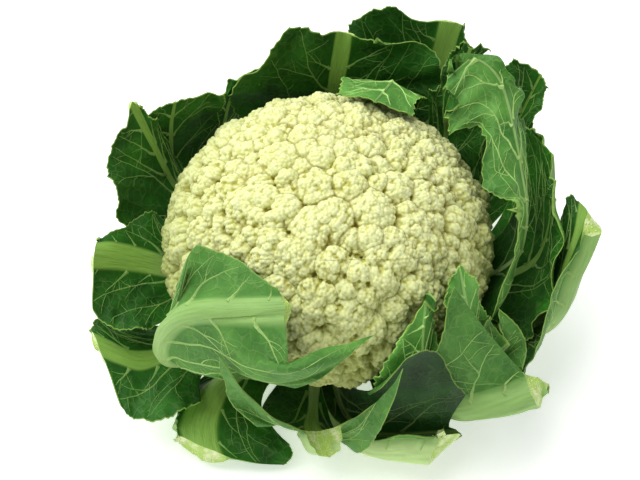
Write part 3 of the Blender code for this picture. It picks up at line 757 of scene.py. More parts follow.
class LeafBlade:
    """The leaf as it is seen: a fine grid over the sheet, with a ragged edge, veins and a cut end."""

    STALK = 0.3
    STALK_STEP = 4.0
    ROW_STEP = 1.55
    COLUMN_STEP = 2.3
    RIB_STEPS = 3
    CUT_LAYERS = 5
    LIE_REACH = 7.0
    LIE_GAP = 0.15
    LIE_ENOUGH = 0.05
    LIFTED = (0.15, 0.3)
    THIN = 0.32
    TOOTHED = (0.32, 0.5)
    TIP_TOOTHED = (0.93, 1.0)
    TIP_MOVED = (0.45, 1.0)
    RUFFLED = (0.35, 0.6)
    TIP_RUFFLED = (0.6, 1.0)
    TIP_RUFFLE = 0.8
    TIP_WIDTH = 60
    SMALL_RUFFLE = 0.45
    SMALL_RUFFLE_PACE = 2.3
    SLANT_START = 0.8
    SLANT_GROWTH = 0.2
    VEIN_LIFT = 0.02
    VEIN_SUNK = 0.12
    VEIN_CREST = 0.1
    VEIN_TALL_OUTSIDE = 0.5
    VEIN_TALL_INSIDE = 0.16
    FAR_OFF = 9.0

    def __init__(self, sheet: LeafSheet, seed: int) -> None:
        """Takes the settled sheet of a leaf, with a seed for what is random in it."""
        self.sheet = sheet
        self.form = sheet.form
        self.frill = sheet.form.frill
        self.seed = 100 * seed
        self._lay_grid()
        self._cut_edges()
        self._ruffle()

    def _lay_grid(self) -> None:
        """Reads the coarse sheet at the rows and columns of the fine grid."""
        coarse = self.sheet.points
        length = np.linalg.norm(np.diff(coarse[:, self.form.cols // 2], axis=0), axis=1).sum()
        stalk = max(4, math.ceil(self.STALK * length / self.STALK_STEP))
        free = math.ceil((1 - self.STALK) * length / self.ROW_STEP)
        stalk_rows = np.linspace(0, self.STALK, stalk, endpoint=False)
        self.down = np.concatenate([stalk_rows, np.linspace(self.STALK, 1, free)])
        widest = np.linalg.norm(np.diff(coarse, axis=1), axis=2).sum(axis=1).max() / 2
        half = self.form.cols // 2
        on_rib = self.form.rib_columns()
        blade = max(5, math.ceil(widest / self.COLUMN_STEP))
        half_at = np.concatenate([
            np.linspace(0, on_rib / half, on_rib * self.RIB_STEPS, endpoint=False),
            on_rib / half + (1 - on_rib / half) * (1 - (1 - np.linspace(0, 1, blade)) ** 1.25),
        ])
        at = np.concatenate([0.5 - half_at[:0:-1] / 2, 0.5 + half_at / 2])
        self.middle = len(half_at) - 1
        self.points = self._read(coarse, at)
        self.far = self._read_plainly(self.sheet.far, at)
        self.share = self._read_plainly(self.sheet.share, at)
        self.half_width = np.interp(self.down, np.linspace(0, 1, self.form.rows), self.sheet.half_width)
        self.mirror = np.where(self.share < 0, -1.0, 1.0)
        self.slim = np.interp(self.down, [0.0, self.STALK, 1.0], [1.0, *self.frill.rib])[:, None]
        steps = np.linalg.norm(np.diff(self.points[:, self.middle], axis=0), axis=1)
        self.along = np.concatenate([[0], np.cumsum(steps)])[:, None] * np.ones_like(self.far)

    def _read(self, grid: Grid, at: np.ndarray) -> Grid:
        """A grid read smoothly at the fine rows and at given columns."""
        rows = read_smoothly(grid, self.down)
        return np.swapaxes(read_smoothly(np.swapaxes(rows, 0, 1), at), 0, 1)

    def _read_plainly(self, grid: Grid, at: np.ndarray) -> Grid:
        """A grid of single numbers read in straight lines between its own."""
        given = np.linspace(0, 1, len(grid))
        rows = np.stack([np.interp(self.down, given, column) for column in grid.T], axis=1)
        return np.stack([np.interp(at, np.linspace(0, 1, grid.shape[1]), row) for row in rows])

    def _outline(self, points: tuple, at: np.ndarray) -> np.ndarray:
        """Reads the moves of an edge, given as pairs of place and millimetres."""
        places, moves = np.array(points, float).T
        return np.interp(at, places, moves)

    def _cut_edges(self) -> None:
        """Moves the margins and the tip in their own plane, into lobes and teeth."""
        frill = self.frill
        down = self.down[:, None]
        free = smooth_rise(self.down, *self.TOOTHED)
        across = unit(np.gradient(self.points, axis=1))
        forward = unit(np.gradient(self.points, axis=0))
        margin = self.along[:, 0]
        for side, moves, seed in ((-1, frill.left, 1), (1, frill.right, 2)):
            lobes = frill.lobe * wander(self.seed + seed, margin / frill.lobe_pitch) - frill.lobe * 0.6
            saw = frill.tooth * teeth(self.seed + 10 * seed, margin / frill.tooth_pitch)
            broad = (lobes * free + self._outline(moves, self.down))[:, None]
            near = np.clip(self.share * side, 0, 1)
            move = broad * near**2.2 + (saw * free)[:, None] * smooth_rise(near, 0.86, 1.0)
            self.points = self.points + across * (side * move)[..., None]
        shares = self.share[-1]
        tip = self._outline(frill.tips, shares)
        saw = np.zeros_like(shares)
        if frill.ending is Ending.TORN:
            width = shares * np.linalg.norm(np.diff(self.points[-1], axis=0), axis=1).sum() / 2
            rib_edge = 0.9 * self.slim[-1, 0]
            off_rib = smooth_rise(np.abs(self.far[-1]), rib_edge, rib_edge + 0.8)
            lobes = wander(self.seed + 5, width / frill.lobe_pitch) - 0.5
            tip = tip + off_rib * frill.lobe * 0.8 * lobes
            saw = off_rib * frill.tooth * teeth(self.seed + 50, width / frill.tooth_pitch)
        move = tip[None, :] * smooth_rise(down, *self.TIP_MOVED)
        move = move + saw[None, :] * smooth_rise(down, *self.TIP_TOOTHED)
        self.points = self.points + forward * move[..., None]

    def _sway(self, seed: int, pace: float) -> Grid:
        """A smooth random line down each side of the blade, at a multiple of the ruffles' pace."""
        along = self.along[:, 0] / self.frill.ruffle_pitch * pace
        right = wander(self.seed + seed, along)[:, None]
        left = wander(self.seed + seed + 1, along)[:, None]
        return np.where(self.mirror > 0, right, left)

    def _ruffle(self) -> None:
        """Ruffles the margins and puckers the blade between its side veins."""
        frill = self.frill
        free = smooth_rise(self.down, *self.RUFFLED)[:, None]
        reach = np.clip(np.abs(self.share), 0, 1)
        swing = self._sway(7, 1.0)
        small = self._sway(17, self.SMALL_RUFFLE_PACE)
        out = frill.ruffle * (swing * reach**2 + self.SMALL_RUFFLE * small * reach**5) * free
        if frill.ending is Ending.TORN:
            width = self.share[-1] * self.TIP_WIDTH / frill.ruffle_pitch
            tip_swing = wander(self.seed + 9, width)[None, :]
            tip_free = smooth_rise(self.down, *self.TIP_RUFFLED)[:, None]
            out = out + frill.ruffle * self.TIP_RUFFLE * tip_swing * tip_free * reach
        self._measure()
        between = self.along - 0.75 * self.beyond + 2 * wander(self.seed + 3, self.along[:, 0] / 19)[:, None]
        pillow = np.cos(math.pi * (between / frill.veins.spacing + 0.4 * (self.mirror > 0))) ** 2
        rise = smooth_rise(self.beyond, 2, 12) * (1 - 0.5 * reach**4)
        out = out + frill.pucker * (0.5 - pillow) * rise * free
        self.points = self.points + sheet_normals(self.points) * out[..., None]

    def _measure(self) -> None:
        """Measures how far each point is from the rib and from the edge."""
        half = self.half_width[:, None]
        self.beyond = np.maximum((self.far - 0.85 * self.slim) * half, 0)
        widths = np.linalg.norm(np.diff(self.points, axis=1), axis=2)
        from_left = np.concatenate([np.zeros((len(widths), 1)), np.cumsum(widths, axis=1)], axis=1)
        self.edge = np.minimum(from_left, from_left[:, -1:] - from_left)
        if self.frill.ending is Ending.TORN:
            self.edge = np.minimum(self.edge, np.abs(self.along[-1:] - self.along) + 0.01)

    def settle(self, earlier: list[BVHTree]) -> None:
        """Lifts the fine sheet off the surfaces of the leaves inside it where its ruffles dip into them."""
        free = smooth_rise(self.down, *self.LIFTED)[:, None]
        for _ in range(2):
            way = self.sheet.ways_out(self.points)
            lift = np.zeros(self.points.shape[:2])
            starts = self.points + way * self.LIE_REACH
            reach = self.LIE_REACH + self.THIN + self.LIE_GAP
            for index in np.ndindex(*lift.shape):
                if index[0] % 2 or self.down[index[0]] < 0.2:
                    continue
                start, ray = Vector(starts[index]), Vector(-way[index])
                for tree in earlier:
                    _, _, _, distance = tree.ray_cast(start, ray, reach)
                    if distance is not None:
                        lift[index] = max(lift[index], reach - distance)
            if lift.max() < self.LIE_ENOUGH:
                break
            for _ in range(2):
                lift = spread(lift, smooth=False)
            for _ in range(3):
                lift = spread(lift, smooth=True)
            self.points = self.points + way * (lift * free)[..., None]

    def surface(self) -> BVHTree:
        """The outer face, thinned out, for the leaves outside this one to lie on."""
        _, outer = self._offsets()
        normal = sheet_normals(self.points)
        face = (self.points + normal * outer[..., None])[::2, ::2]
        quads = grid_quads(*face.shape[:2])
        return BVHTree.FromPolygons([tuple(point) for point in face.reshape(-1, 3)], quads.tolist())

    def _offsets(self) -> tuple[Grid, Grid]:
        """How far the inner and the outer face stand off the middle surface."""
        down = self.down[:, None]
        depth = self.form.rib_depth(down)
        far = self.far / self.slim
        round_back = np.clip(1 - far**2, 0, 1) ** 0.6
        foot = (1 + np.cos(math.pi * np.clip(far / 1.5, 0, 1))) / 2
        swell = (0.72 * round_back + 0.28 * foot) * self.slim
        grooves = 1 + 0.045 * np.cos(far * self.mirror * 15) * (far < 1)
        thin = self.THIN * (1 - 0.35 * (1 - smooth_rise(self.edge, 0.0, 2.5)))
        channel = 0.05 * depth * np.exp(-((far / 0.5) ** 2)) * smooth_rise(down, 0.5, 0.9)
        inner = thin + 0.1 * depth * foot * self.slim - channel
        outer = thin + 0.9 * depth * swell * grooves
        return inner, outer

    def dress(self, box: tuple[np.ndarray, np.ndarray], material: bpy.types.Material) -> bpy.types.Object:
        """Makes the piece.

        Args:
            box: The lowest and the highest corner that it may reach, in millimetres.
            material: The leaf's finish.
        """
        inner, outer = self._offsets()
        normal = sheet_normals(self.points)
        forward = unit(np.gradient(self.points, axis=0))
        down = self.down[:, None]
        at_end = np.clip((down - self.SLANT_START) / self.SLANT_GROWTH, 0, 1)
        slant = self.form.bevel * (inner + outer - 2 * self.THIN) * at_end
        outer_face = self.points + normal * outer[..., None] - forward * (slant / 2)[..., None]
        inner_face = self.points - normal * inner[..., None] + forward * (slant / 2)[..., None]
        rows, cols = self.far.shape
        piece = Piece(self.form.name + "_fresh")
        full = np.ones_like(self.far)
        none = np.zeros_like(self.far)
        tone = self.frill.tone * full
        vein = np.stack([none, self.beyond, self.edge], axis=-1)
        greening = down * (1 - self.frill.pale_stalk)
        rib = np.stack([self.far / self.slim, self.along, greening * full], axis=-1)
        inner_rib = rib.copy()
        inner_rib[..., 0] /= 0.8
        inner_rib[..., 2] = down
        out_kind = np.stack([full, none, tone], axis=-1)
        # The inner face's tone carries its painted light and shade.
        in_kind = np.stack([none, none, tone * self.frill.inner_light_and_shade], axis=-1)
        outer_face, inner_face = np.clip(outer_face, *box), np.clip(inner_face, *box)
        piece.add(outer_face, [grid_quads(rows, cols)], vein=vein, rib=rib, kind=out_kind)
        inner_quads = grid_quads(rows, cols, rows * cols, turned=True)
        piece.add(inner_face, [inner_quads], vein=vein, rib=inner_rib, kind=in_kind)
        index = np.arange(rows * cols).reshape(rows, cols)
        rim = np.array([*index[-1:0:-1, 0], *index[0, :-1], *index[:, -1]])
        below = rim + rows * cols
        piece.faces.append(np.stack([rim[:-1], rim[1:], below[1:], below[:-1]], axis=1))
        self._cut_end(piece, outer_face[-1], inner_face[-1], forward[-1], vein[-1], rib[-1], box)
        self._add_veins(piece, outer_face, normal, 1.0, box)
        self._add_veins(piece, inner_face, -normal, 0.0, box)
        return piece.make(material, "leaf", self.form.name, crease=55)

    def _cut_end(self, piece: Piece, outer: Grid, inner: Grid, forward: Grid, vein: Grid, rib: Grid,
                 box: tuple) -> None:
        """Closes the end with a face of its own, slightly hollow and fibrous where the rib is cut."""
        layers = self.CUT_LAYERS + 1
        across = np.linspace(0, 1, layers)[:, None, None]
        face = outer[None] * (1 - across) + inner[None] * across
        thick = np.linalg.norm(outer - inner, axis=1)[None, :]
        inside = np.sin(math.pi * across[..., 0]) * np.clip(thick / 6, 0, 1)
        chance = np.random.default_rng(self.seed + 60)
        rough = chance.uniform(-0.22, 0.22, face.shape[:2])
        face = face + forward[None] * (inside * (rough - 0.45))[..., None]
        is_cut = np.broadcast_to(smooth_rise(thick, 1.4, 2.4), face.shape[:2])
        kind = np.stack([0 * is_cut, is_cut, self.frill.tone + 0 * is_cut], axis=-1)
        vein_at = np.broadcast_to(vein, face.shape).copy()
        vein_at[..., 2] = np.where(inside > 0.3, 3.0, 0.0)
        rows, cols = face.shape[:2]
        faces = grid_quads(rows, cols, piece.count)
        piece.add(np.clip(face, *box), [faces], vein=vein_at, rib=np.broadcast_to(rib, face.shape), kind=kind)

    def _grow_veins(self) -> list[tuple[float, np.ndarray, np.ndarray]]:
        """Grows the side veins over the blade: the main ones first, then their forks, then the twigs.

        Returns:
            For each vein its side of the rib, its places in millimetres along and beyond the rib,
            and its widths.
        """
        habit = self.frill.veins
        length = self.along[-1, 0]
        found: list[tuple[float, np.ndarray, np.ndarray]] = []
        for side in (-1.0, 1.0):
            chance = np.random.default_rng(self.seed + 70 + int(side > 0))
            taken: set[tuple[int, int]] = set()
            mains, forks = [], []
            start = length * 0.3 + chance.uniform(0, 0.7) * habit.spacing
            while start < length - 3:
                lean = habit.start_angle + chance.uniform(-7, 7)
                mains.append(self._grow(taken, chance, side, (start, -0.5), lean, 90.0, habit.turn))
                start += habit.spacing * chance.uniform(0.75, 1.3)
            for line in mains:
                if len(line) > 9:
                    at = int(len(line) * chance.uniform(0.3, 0.55))
                    lean = self._lean(line, at) + chance.choice([-1, 1]) * habit.fork_angle
                    forks.append(self._grow(taken, chance, side, tuple(line[at]), lean, 45.0, 0.0))
            main_widths = (habit.thick, habit.thin)
            fork_widths = (0.6 * habit.thick, 0.8 * habit.thin)
            for lines, widths in ((mains, main_widths), (forks, fork_widths)):
                for line in lines:
                    if len(line) > 2:
                        found.append((side, line, self._taper(line, *widths)))
                        found += self._twigs(taken, chance, side, line)
        return found

    def _lean(self, line: np.ndarray, at: int) -> float:
        """The direction of a vein at one of its places, in degrees from the rib's."""
        step = line[min(at + 1, len(line) - 1)] - line[max(at - 1, 0)]
        return math.degrees(math.atan2(step[1], step[0]))

    def _taper(self, line: np.ndarray, thick: float, thin: float) -> np.ndarray:
        """The widths of a vein, which flares where it leaves the rib."""
        share = np.linspace(0, 1, len(line))
        short = min(1.0, 0.3 + len(line) / 14)
        flare = 1 + 0.8 * short * np.exp(-share * len(line) * self.frill.veins.step / 4) * (line[0, 1] < 0)
        return (thick + (thin - thick) * share**0.6) * flare * short

    def _twigs(self, taken: set, chance: Any, side: float, line: np.ndarray) -> list:
        """The twigs of one vein, to either side of it in turn."""
        habit = self.frill.veins
        found = []
        spaces = max(2, int(habit.twig_every / habit.step))
        turn = chance.choice([-1, 1])
        for at in range(spaces, len(line) - 2, spaces):
            lean = self._lean(line, at) + turn * chance.uniform(45, 75)
            reach = habit.twig_length * chance.uniform(0.5, 1.2)
            twig = self._grow(taken, chance, side, tuple(line[at]), lean, reach, 0.0)
            turn = -turn
            if len(twig) > 2:
                found.append((side, twig, np.linspace(habit.twig_thick, habit.twig_thin, len(twig))))
        return found

    def _grow(self, taken: set, chance: Any, side: float, start: tuple[float, float], lean: float,
              reach: float, turn: float) -> np.ndarray:
        """Grows one vein until its length is reached, or the edge, or another vein.

        Args:
            taken: The squares of the blade that veins have crossed, to which this one's are added.
            chance: Random numbers.
            side: -1 on the left of the rib, 1 on its right.
            start: Millimetres along and beyond the rib.
            lean: First direction, in degrees from the rib's.
            reach: Greatest length.
            turn: Degrees that it turns towards the leaf's end in each millimetre.
        """
        habit = self.frill.veins
        place = np.array(start, float)
        places = [place]
        length = self.along[-1, 0]
        for step in range(int(reach / habit.step)):
            lean += chance.normal(0, habit.wander) - turn * habit.step
            lean = max(lean, 12.0) if turn else lean
            ahead = math.radians(lean)
            place = place + habit.step * np.array([math.cos(ahead), math.sin(ahead)])
            if not 0 < place[0] < length - 0.8 or place[1] < 0 or place[1] > self._room(place[0], side) - 1.2:
                break
            places.append(place)
            if step > 1 and self._square(place) in taken:
                break
        taken.update(self._square(place) for place in places)
        return np.array(places)

    def _square(self, place: np.ndarray) -> tuple[int, int]:
        """The square of the blade that a place lies in."""
        return int(place[0] // self.frill.veins.apart), int(place[1] // self.frill.veins.apart)

    def _room(self, along: float, side: float) -> float:
        """How far the blade reaches beyond the rib at a place along it."""
        margin = self.beyond[:, 0] if side < 0 else self.beyond[:, -1]
        return float(np.interp(along, self.along[:, 0], margin))

    def _locate(self, places: np.ndarray, side: float) -> tuple[np.ndarray, np.ndarray]:
        """Rows and columns of the fine grid, in fractions, at places along and beyond the rib."""
        rows = np.interp(places[:, 0], self.along[:, 0], np.arange(len(self.down)))
        whole = np.minimum(rows.astype(int), len(self.down) - 2)
        columns = []
        for row, (_, beyond), part in zip(whole, places, rows - whole):
            line = self.beyond[row] * (1 - part) + self.beyond[row + 1] * part
            line = line[self.middle:] if side > 0 else line[self.middle::-1]
            start = int(np.searchsorted(line, 1e-9)) - 1
            at = np.interp(beyond, line[start:], np.arange(start, len(line)))
            columns.append(self.middle + side * at)
        return rows, np.array(columns)

    def _add_veins(self, piece: Piece, face: Grid, normal: Grid, outside: float, box: tuple) -> None:
        """Lays the veins on one face of the leaf as low ridges.

        Args:
            piece: The leaf in the making.
            face: Points of that face.
            normal: Unit normals out of that face.
            outside: 1 on the outer face, where they stand higher, and 0 on the inner one.
            box: The lowest and the highest corner that they may reach.
        """
        # On the inner face the veins take its painted light and shade too.
        tone = self.frill.tone * (1 if outside else self.frill.inner_light_and_shade)
        tall = self.VEIN_TALL_OUTSIDE if outside else self.VEIN_TALL_INSIDE
        for side, places, widths in self._grow_veins():
            rows, cols = self._locate(places, side)
            i = np.minimum(rows.astype(int), len(face) - 2)
            j = np.minimum(cols.astype(int), face.shape[1] - 2)
            a, b = (rows - i)[:, None], (cols - j)[:, None]

            def read(grid: Grid) -> np.ndarray:
                """The grid between its points."""
                low = grid[i, j] * (1 - b) + grid[i, j + 1] * b
                return low * (1 - a) + (grid[i + 1, j] * (1 - b) + grid[i + 1, j + 1] * b) * a

            line, up = read(face), read(normal)
            line = line + up * self.VEIN_LIFT
            beside = unit(np.cross(np.gradient(line, axis=0), up))
            half = widths[:, None] / 2
            crest = line + up * (self.VEIN_CREST + tall * half)
            sunk = up * self.VEIN_SUNK
            ridge = np.stack([line - beside * half - sunk, crest, line + beside * half - sunk], axis=1)
            count = len(line)
            index = np.arange(count * 3).reshape(count, 3) + piece.count
            beyond = np.roll(index, -1, axis=1)
            faces = np.stack([index[:-1], index[1:], beyond[1:], beyond[:-1]], axis=-1).reshape(-1, 4)
            ends = np.array([index[0], index[-1][::-1]])
            ones = np.ones((count, 3))
            far = self.FAR_OFF * ones
            piece.add(
                np.clip(ridge, *box), [faces, ends], vein=np.stack([ones, far, far], axis=-1),
                rib=np.stack([far, 0 * ones, ones], axis=-1),
                kind=np.stack([outside * ones, 0 * ones, tone * ones], axis=-1),
            )


# The leaves from the innermost to the outermost. Each lies over the ones before it.
LEAVES: tuple[LeafForm, ...] = (
    LeafForm(
        "leaf_small_right",
        rib=[(-40, 22, 29), (-43, 62, 38), (-42, 87, 60), (-41, 83, 86), (-38, 75, 103)],
        left=[(-35, 62, 39), (-34, 87, 62), (-34, 83, 84), (-35, 76, 100)],
        right=[(-50, 62, 39), (-52, 87, 62), (-50, 83, 86), (-43, 76, 103)],
        width=(9, 5), depth=(3.5, 1.5), rows=8, cols=7,
        frill=Frill(tone=1.5, tooth=2.0, lobe=1.5, rib=(0.8, 0.4)),
    ),
    LeafForm(
        "leaf_small_front",
        rib=[(-74, 22, 29), (-66, 62, 38), (-62, 86, 58), (-59, 83, 84), (-55, 76, 98)],
        left=[(-56, 62, 39), (-54, 85, 60), (-53, 82, 84), (-53, 78, 97)],
        right=[(-74, 62, 39), (-76, 85, 58), (-73, 84, 76), (-62, 78, 93)],
        width=(9, 5), depth=(3.5, 1.5), rows=8, cols=7,
        frill=Frill(tone=1.5, tooth=2.2, lobe=2.0, rib=(0.6, 0.3)),
    ),
    LeafForm(
        "leaf_small_back",
        rib=[(76, 22, 29), (70, 62, 37), (68, 86, 58), (67, 88, 84), (65, 74, 107), (60, 44, 123)],
        left=[(77, 62, 38), (80, 86, 60), (80, 85, 86), (84, 66, 109), (84, 47, 121)],
        right=[(62, 62, 38), (58, 86, 60), (58, 85, 86), (50, 70, 107), (42, 50, 118)],
        width=(9, 5), depth=(3.5, 1.5), rows=10, cols=7,
        frill=Frill(tone=1.25, tooth=2.2, lobe=2.0, rib=(0.6, 0.2)),
    ),
    LeafForm(
        "leaf_right_curled",
        rib=[(0, 22, 29), (-4, 62, 37), (-5, 89, 58), (-2, 94, 86), (12, 92, 107), (28, 95, 122),
             (38, 94, 133), (40, 74, 129)],
        left=[(6, 62, 38), (12, 92, 58), (20, 99, 84), (26, 104, 106), (34, 106, 122),
              (44, 84, 131)],
        right=[(-14, 62, 38), (-34, 89, 60), (-20, 87, 84), (-2, 78, 105), (20, 66, 113),
               (34, 68, 124)],
        width=(14, 9), depth=(5, 3), wave=(2.0, 4, 0), rows=14, cols=9,
        frill=Frill(tooth=3.0, lobe=4.5, ruffle=6.0, ruffle_pitch=13, pucker=1.8, rib=(0.35, 0.12),
                    tone=1.05, right=((0.3, 0), (0.5, -5), (0.6, -12), (0.64, -3), (0.7, 5),
                    (0.77, -9), (0.82, -9), (0.88, 2), (1, 2))),
    ),
    LeafForm(
        "leaf_back_right",
        rib=[(42, 22, 29), (46, 62, 36), (49, 90, 58), (50, 94, 85), (50, 110, 114)],
        left=[(53, 62, 37), (59, 93, 60), (58, 97, 84), (56, 101, 102), (54, 108, 117)],
        right=[(36, 62, 37), (34, 90, 58), (36, 98, 84), (42, 108, 100), (46, 118, 110)],
        width=(13, 8), depth=(5, 3), rows=11, cols=9,
        frill=Frill(lobe=5, ruffle=4, tooth=1.8),
    ),
    LeafForm(
        "leaf_back_broad",
        rib=[(92, 22, 22), (89, 62, 28), (88, 93, 52), (87, 93, 82), (85, 97, 112)],
        left=[(98, 62, 29), (114, 92, 50), (122, 90, 78), (118, 87, 104), (100, 92, 123)],
        right=[(78, 62, 29), (62, 95, 54), (55, 98, 80), (56, 97, 104), (74, 90, 117)],
        width=(16, 15), depth=(6, 4), wave=(2.0, 3, 0.5), rows=12, cols=11,
        frill=Frill(lobe=5, lobe_pitch=20, ruffle=3.5, tooth=2.0, rib=(0.9, 0.8)),
    ),
    LeafForm(
        "leaf_front_right_inner",
        rib=[(-36, 22, 22), (-38, 62, 26), (-42, 84, 36), (-40, 97, 50), (-36, 104, 64)],
        left=[(-30, 66, 27), (-36, 108, 42), (-34, 112, 55), (-31, 106, 66), (-32, 93, 75)],
        right=[(-46, 62, 27), (-52, 90, 38), (-50, 98, 50), (-44, 95, 66), (-36, 91, 75)],
        width=(13, 7), depth=(5, 2), belly=(-5, -4), rows=9, cols=9,
        frill=Frill(lobe=1.0, tooth=0.8),
    ),
    LeafForm(
        "leaf_left_ribbed",
        rib=[(178, 22, 29), (179, 62, 36), (182, 88, 52), (187, 112, 73)],
        left=[(190, 62, 37), (202, 86, 44), (206, 100, 50), (204, 112, 55), (199, 118, 62)],
        right=[(168, 62, 37), (164, 86, 56), (166, 91, 65), (173, 99, 67), (181, 110, 72)],
        width=(16, 20), depth=(6, 5), rows=11, cols=11,
        frill=Frill(lobe=2, ending=Ending.CUT, rib=(1.0, 1.0), tooth=1.4, pale_stalk=0.4),
    ),
    LeafForm(
        "leaf_left_pointed",
        rib=[(150, 22, 22), (149, 62, 28), (149, 88, 52), (151, 97, 80), (152, 106, 107)],
        left=[(166, 62, 29), (173, 93, 57), (174, 104, 80), (167, 110, 92), (158, 109, 102)],
        right=[(143, 62, 29), (143, 90, 56), (146, 97, 82), (149, 101, 98), (151, 104, 106)],
        width=(13, 8), depth=(5, 3), rows=11, cols=9,
        frill=Frill(lobe=3, tooth=2.0, rib=(1.0, 0.9), pale_stalk=0.5, tips=((-1, 0), (0, 4),
                    (1, 0))),
    ),
    LeafForm(
        "leaf_back_left",
        rib=[(142, 22, 15), (142, 62, 20), (142, 97, 42), (143, 99, 76), (143, 94, 104)],
        left=[(151, 62, 21), (156, 99, 46), (155, 104, 78), (150, 103, 98)],
        right=[(134, 62, 21), (128, 94, 48), (127, 92, 78), (128, 84, 98)],
        width=(11, 7), depth=(5, 2), rows=10, cols=9,
        frill=Frill(lobe=3, tooth=1.6, rib=(0.7, 0.3)),
    ),
    LeafForm(
        "leaf_back_narrow",
        rib=[(112, 22, 15), (118, 62, 20), (124, 94, 44), (122, 95, 76), (116, 91, 99)],
        left=[(124, 62, 21), (132, 94, 46), (128, 97, 76), (121, 93, 95)],
        right=[(112, 62, 21), (115, 94, 46), (114, 94, 80), (111, 87, 104)],
        width=(10, 7), depth=(4, 2), rows=9, cols=7,
        frill=Frill(lobe=2, tooth=2.0, tone=1.15),
    ),
    LeafForm(
        "leaf_left_folded",
        rib=[(218, 22, 22), (217, 62, 28), (217, 94, 48), (219, 97, 72), (226, 90, 92),
             (240, 81, 101), (256, 73, 105)],
        left=[(225, 62, 29), (228, 94, 56), (238, 95, 64), (252, 91, 71), (268, 90, 77),
              (284, 89, 79)],
        right=[(208, 62, 29), (212, 94, 54), (220, 91, 84), (214, 76, 106), (231, 66, 112),
               (250, 68, 110)],
        width=(14, 12), depth=(6, 4), bow=((-16, 10, -26), 0), rows=14, cols=11,
        frill=Frill(lobe=0.8, tooth=0.8, ruffle=1.2, ending=Ending.CUT, rib=(1.0, 0.9),
                    tips=((-1, 2), (-0.9, -7), (-0.6, -9), (-0.25, 0), (1, 0)), right=((0, 0),
                    (0.5, 0), (0.55, 26), (0.59, -8), (0.63, -4), (0.7, 4), (1, 0))),
    ),
    # Its inner face is painted lighter: painted light on the face that lies in shade.
    LeafForm(
        "leaf_right_outer",
        rib=[(6, 22, 15), (4, 62, 20), (2, 100, 42), (6, 109, 68), (16, 113, 94)],
        left=[(15, 62, 21), (24, 100, 46), (28, 108, 72), (28, 111, 94), (26, 111, 106)],
        right=[(-4, 62, 21), (-24, 102, 38), (-24, 108, 54), (-11, 109, 74), (6, 108, 96)],
        width=(13, 8), depth=(5, 3), rows=11, cols=9,
        frill=Frill(lobe=6, lobe_pitch=22, tooth=1.6, ruffle=4, rib=(0.7, 0.3), inner_light_and_shade=1.5),
    ),
    LeafForm(
        "leaf_front_right_stout",
        rib=[(-54, 22, 16), (-53, 62, 24), (-51, 96, 38), (-44, 110, 42), (-36, 121, 44)],
        left=[(-46, 62, 25), (-45, 100, 33), (-40, 113, 33), (-36, 120, 36), (-34, 125, 39)],
        right=[(-66, 62, 21), (-64, 91, 50), (-58, 89, 80), (-46, 79, 105)],
        width=(10, 19), depth=(6, 11), bevel=0.9, rows=11, cols=11,
        frill=Frill(lobe=2.0, tooth=1.0, ending=Ending.CUT, rib=(1.0, 1.0)),
    ),
    # The cup's inner face is painted darker: painted shade in the hollow between it and the head.
    LeafForm(
        "leaf_front_cup",
        rib=[(-86, 22, 15), (-85, 62, 19), (-79, 84, 22), (-69, 94, 23), (-58, 103, 24)],
        left=[(-77, 62, 26), (-76, 84, 60), (-68, 90, 92), (-60, 95, 86), (-53, 105, 58)],
        right=[(-92, 62, 22), (-85, 86, 32), (-74, 97, 36), (-60, 106, 36)],
        width=(10, 23), depth=(4, 13), belly=(-12, 0), bow=((0, 6, -10), 0), bevel=1.4,
        wave=(0.8, 3, 0), rows=12, cols=11, hollow=True,
        frill=Frill(lobe=1.5, tooth=1.2, ending=Ending.CUT, rib=(1.0, 1.0), tone=1.1,
                    inner_light_and_shade=0.45, pale_stalk=0.8),
    ),
    LeafForm(
        "leaf_front_centre",
        rib=[(-98, 22, 8), (-97, 62, 12), (-95, 80, 20), (-92, 88, 30)],
        left=[(-85, 62, 11), (-82, 93, 20), (-77, 103, 48), (-71, 99, 90)],
        right=[(-118, 62, 14), (-110, 93, 34), (-117, 99, 58), (-120, 98, 88)],
        width=(12, 24), depth=(4, 12), bow=((6, 0, -8), (0, 2, -22)), bevel=-0.8, rows=10, cols=11,
        frill=Frill(lobe=1.5, tooth=1.5, ending=Ending.CUT, rib=(1.0, 1.0), pale_stalk=0.7),
    ),
    LeafForm(
        "leaf_left_low",
        rib=[(203, 22, 15), (204, 62, 20), (208, 98, 32), (206, 111, 41), (204, 119, 47)],
        left=[(212, 62, 21), (226, 92, 30), (228, 106, 27), (224, 119, 26), (216, 122, 32)],
        right=[(195, 62, 21), (196, 98, 34), (198, 110, 44), (197, 116, 48), (198, 120, 51)],
        width=(12, 19), depth=(5, 7), rows=11, cols=9,
        frill=Frill(lobe=3.0, tooth=1.5, ruffle=4, ending=Ending.CUT, rib=(1.0, 1.0)),
    ),
    LeafForm(
        "leaf_right_stout",
        rib=[(-18, 22, 8), (-15, 62, 12), (-14, 106, 36), (-10, 114, 60), (0, 124, 84)],
        left=[(-6, 62, 14), (-2, 106, 42), (2, 110, 62), (5, 114, 80), (6, 119, 85)],
        right=[(-24, 62, 14), (-32, 106, 36), (-34, 114, 48), (-22, 112, 66), (-8, 119, 80)],
        width=(13, 19), depth=(6, 10), bevel=0.5, rows=11, cols=9,
        frill=Frill(lobe=2.0, tooth=1.2, ending=Ending.CUT, rib=(1.0, 1.0)),
    ),
    LeafForm(
        "leaf_back_right_point",
        rib=[(28, 22, 8), (32, 62, 12), (36, 104, 34), (38, 122, 66), (38, 136, 96)],
        left=[(40, 62, 14), (48, 100, 38), (48, 116, 66), (46, 122, 92), (44, 126, 106)],
        right=[(24, 62, 14), (26, 102, 36), (29, 114, 64), (32, 123, 86), (34, 132, 93)],
        width=(14, 7), depth=(6, 3), rows=10, cols=9,
        frill=Frill(lobe=3.0, tooth=1.5),
    ),
    LeafForm(
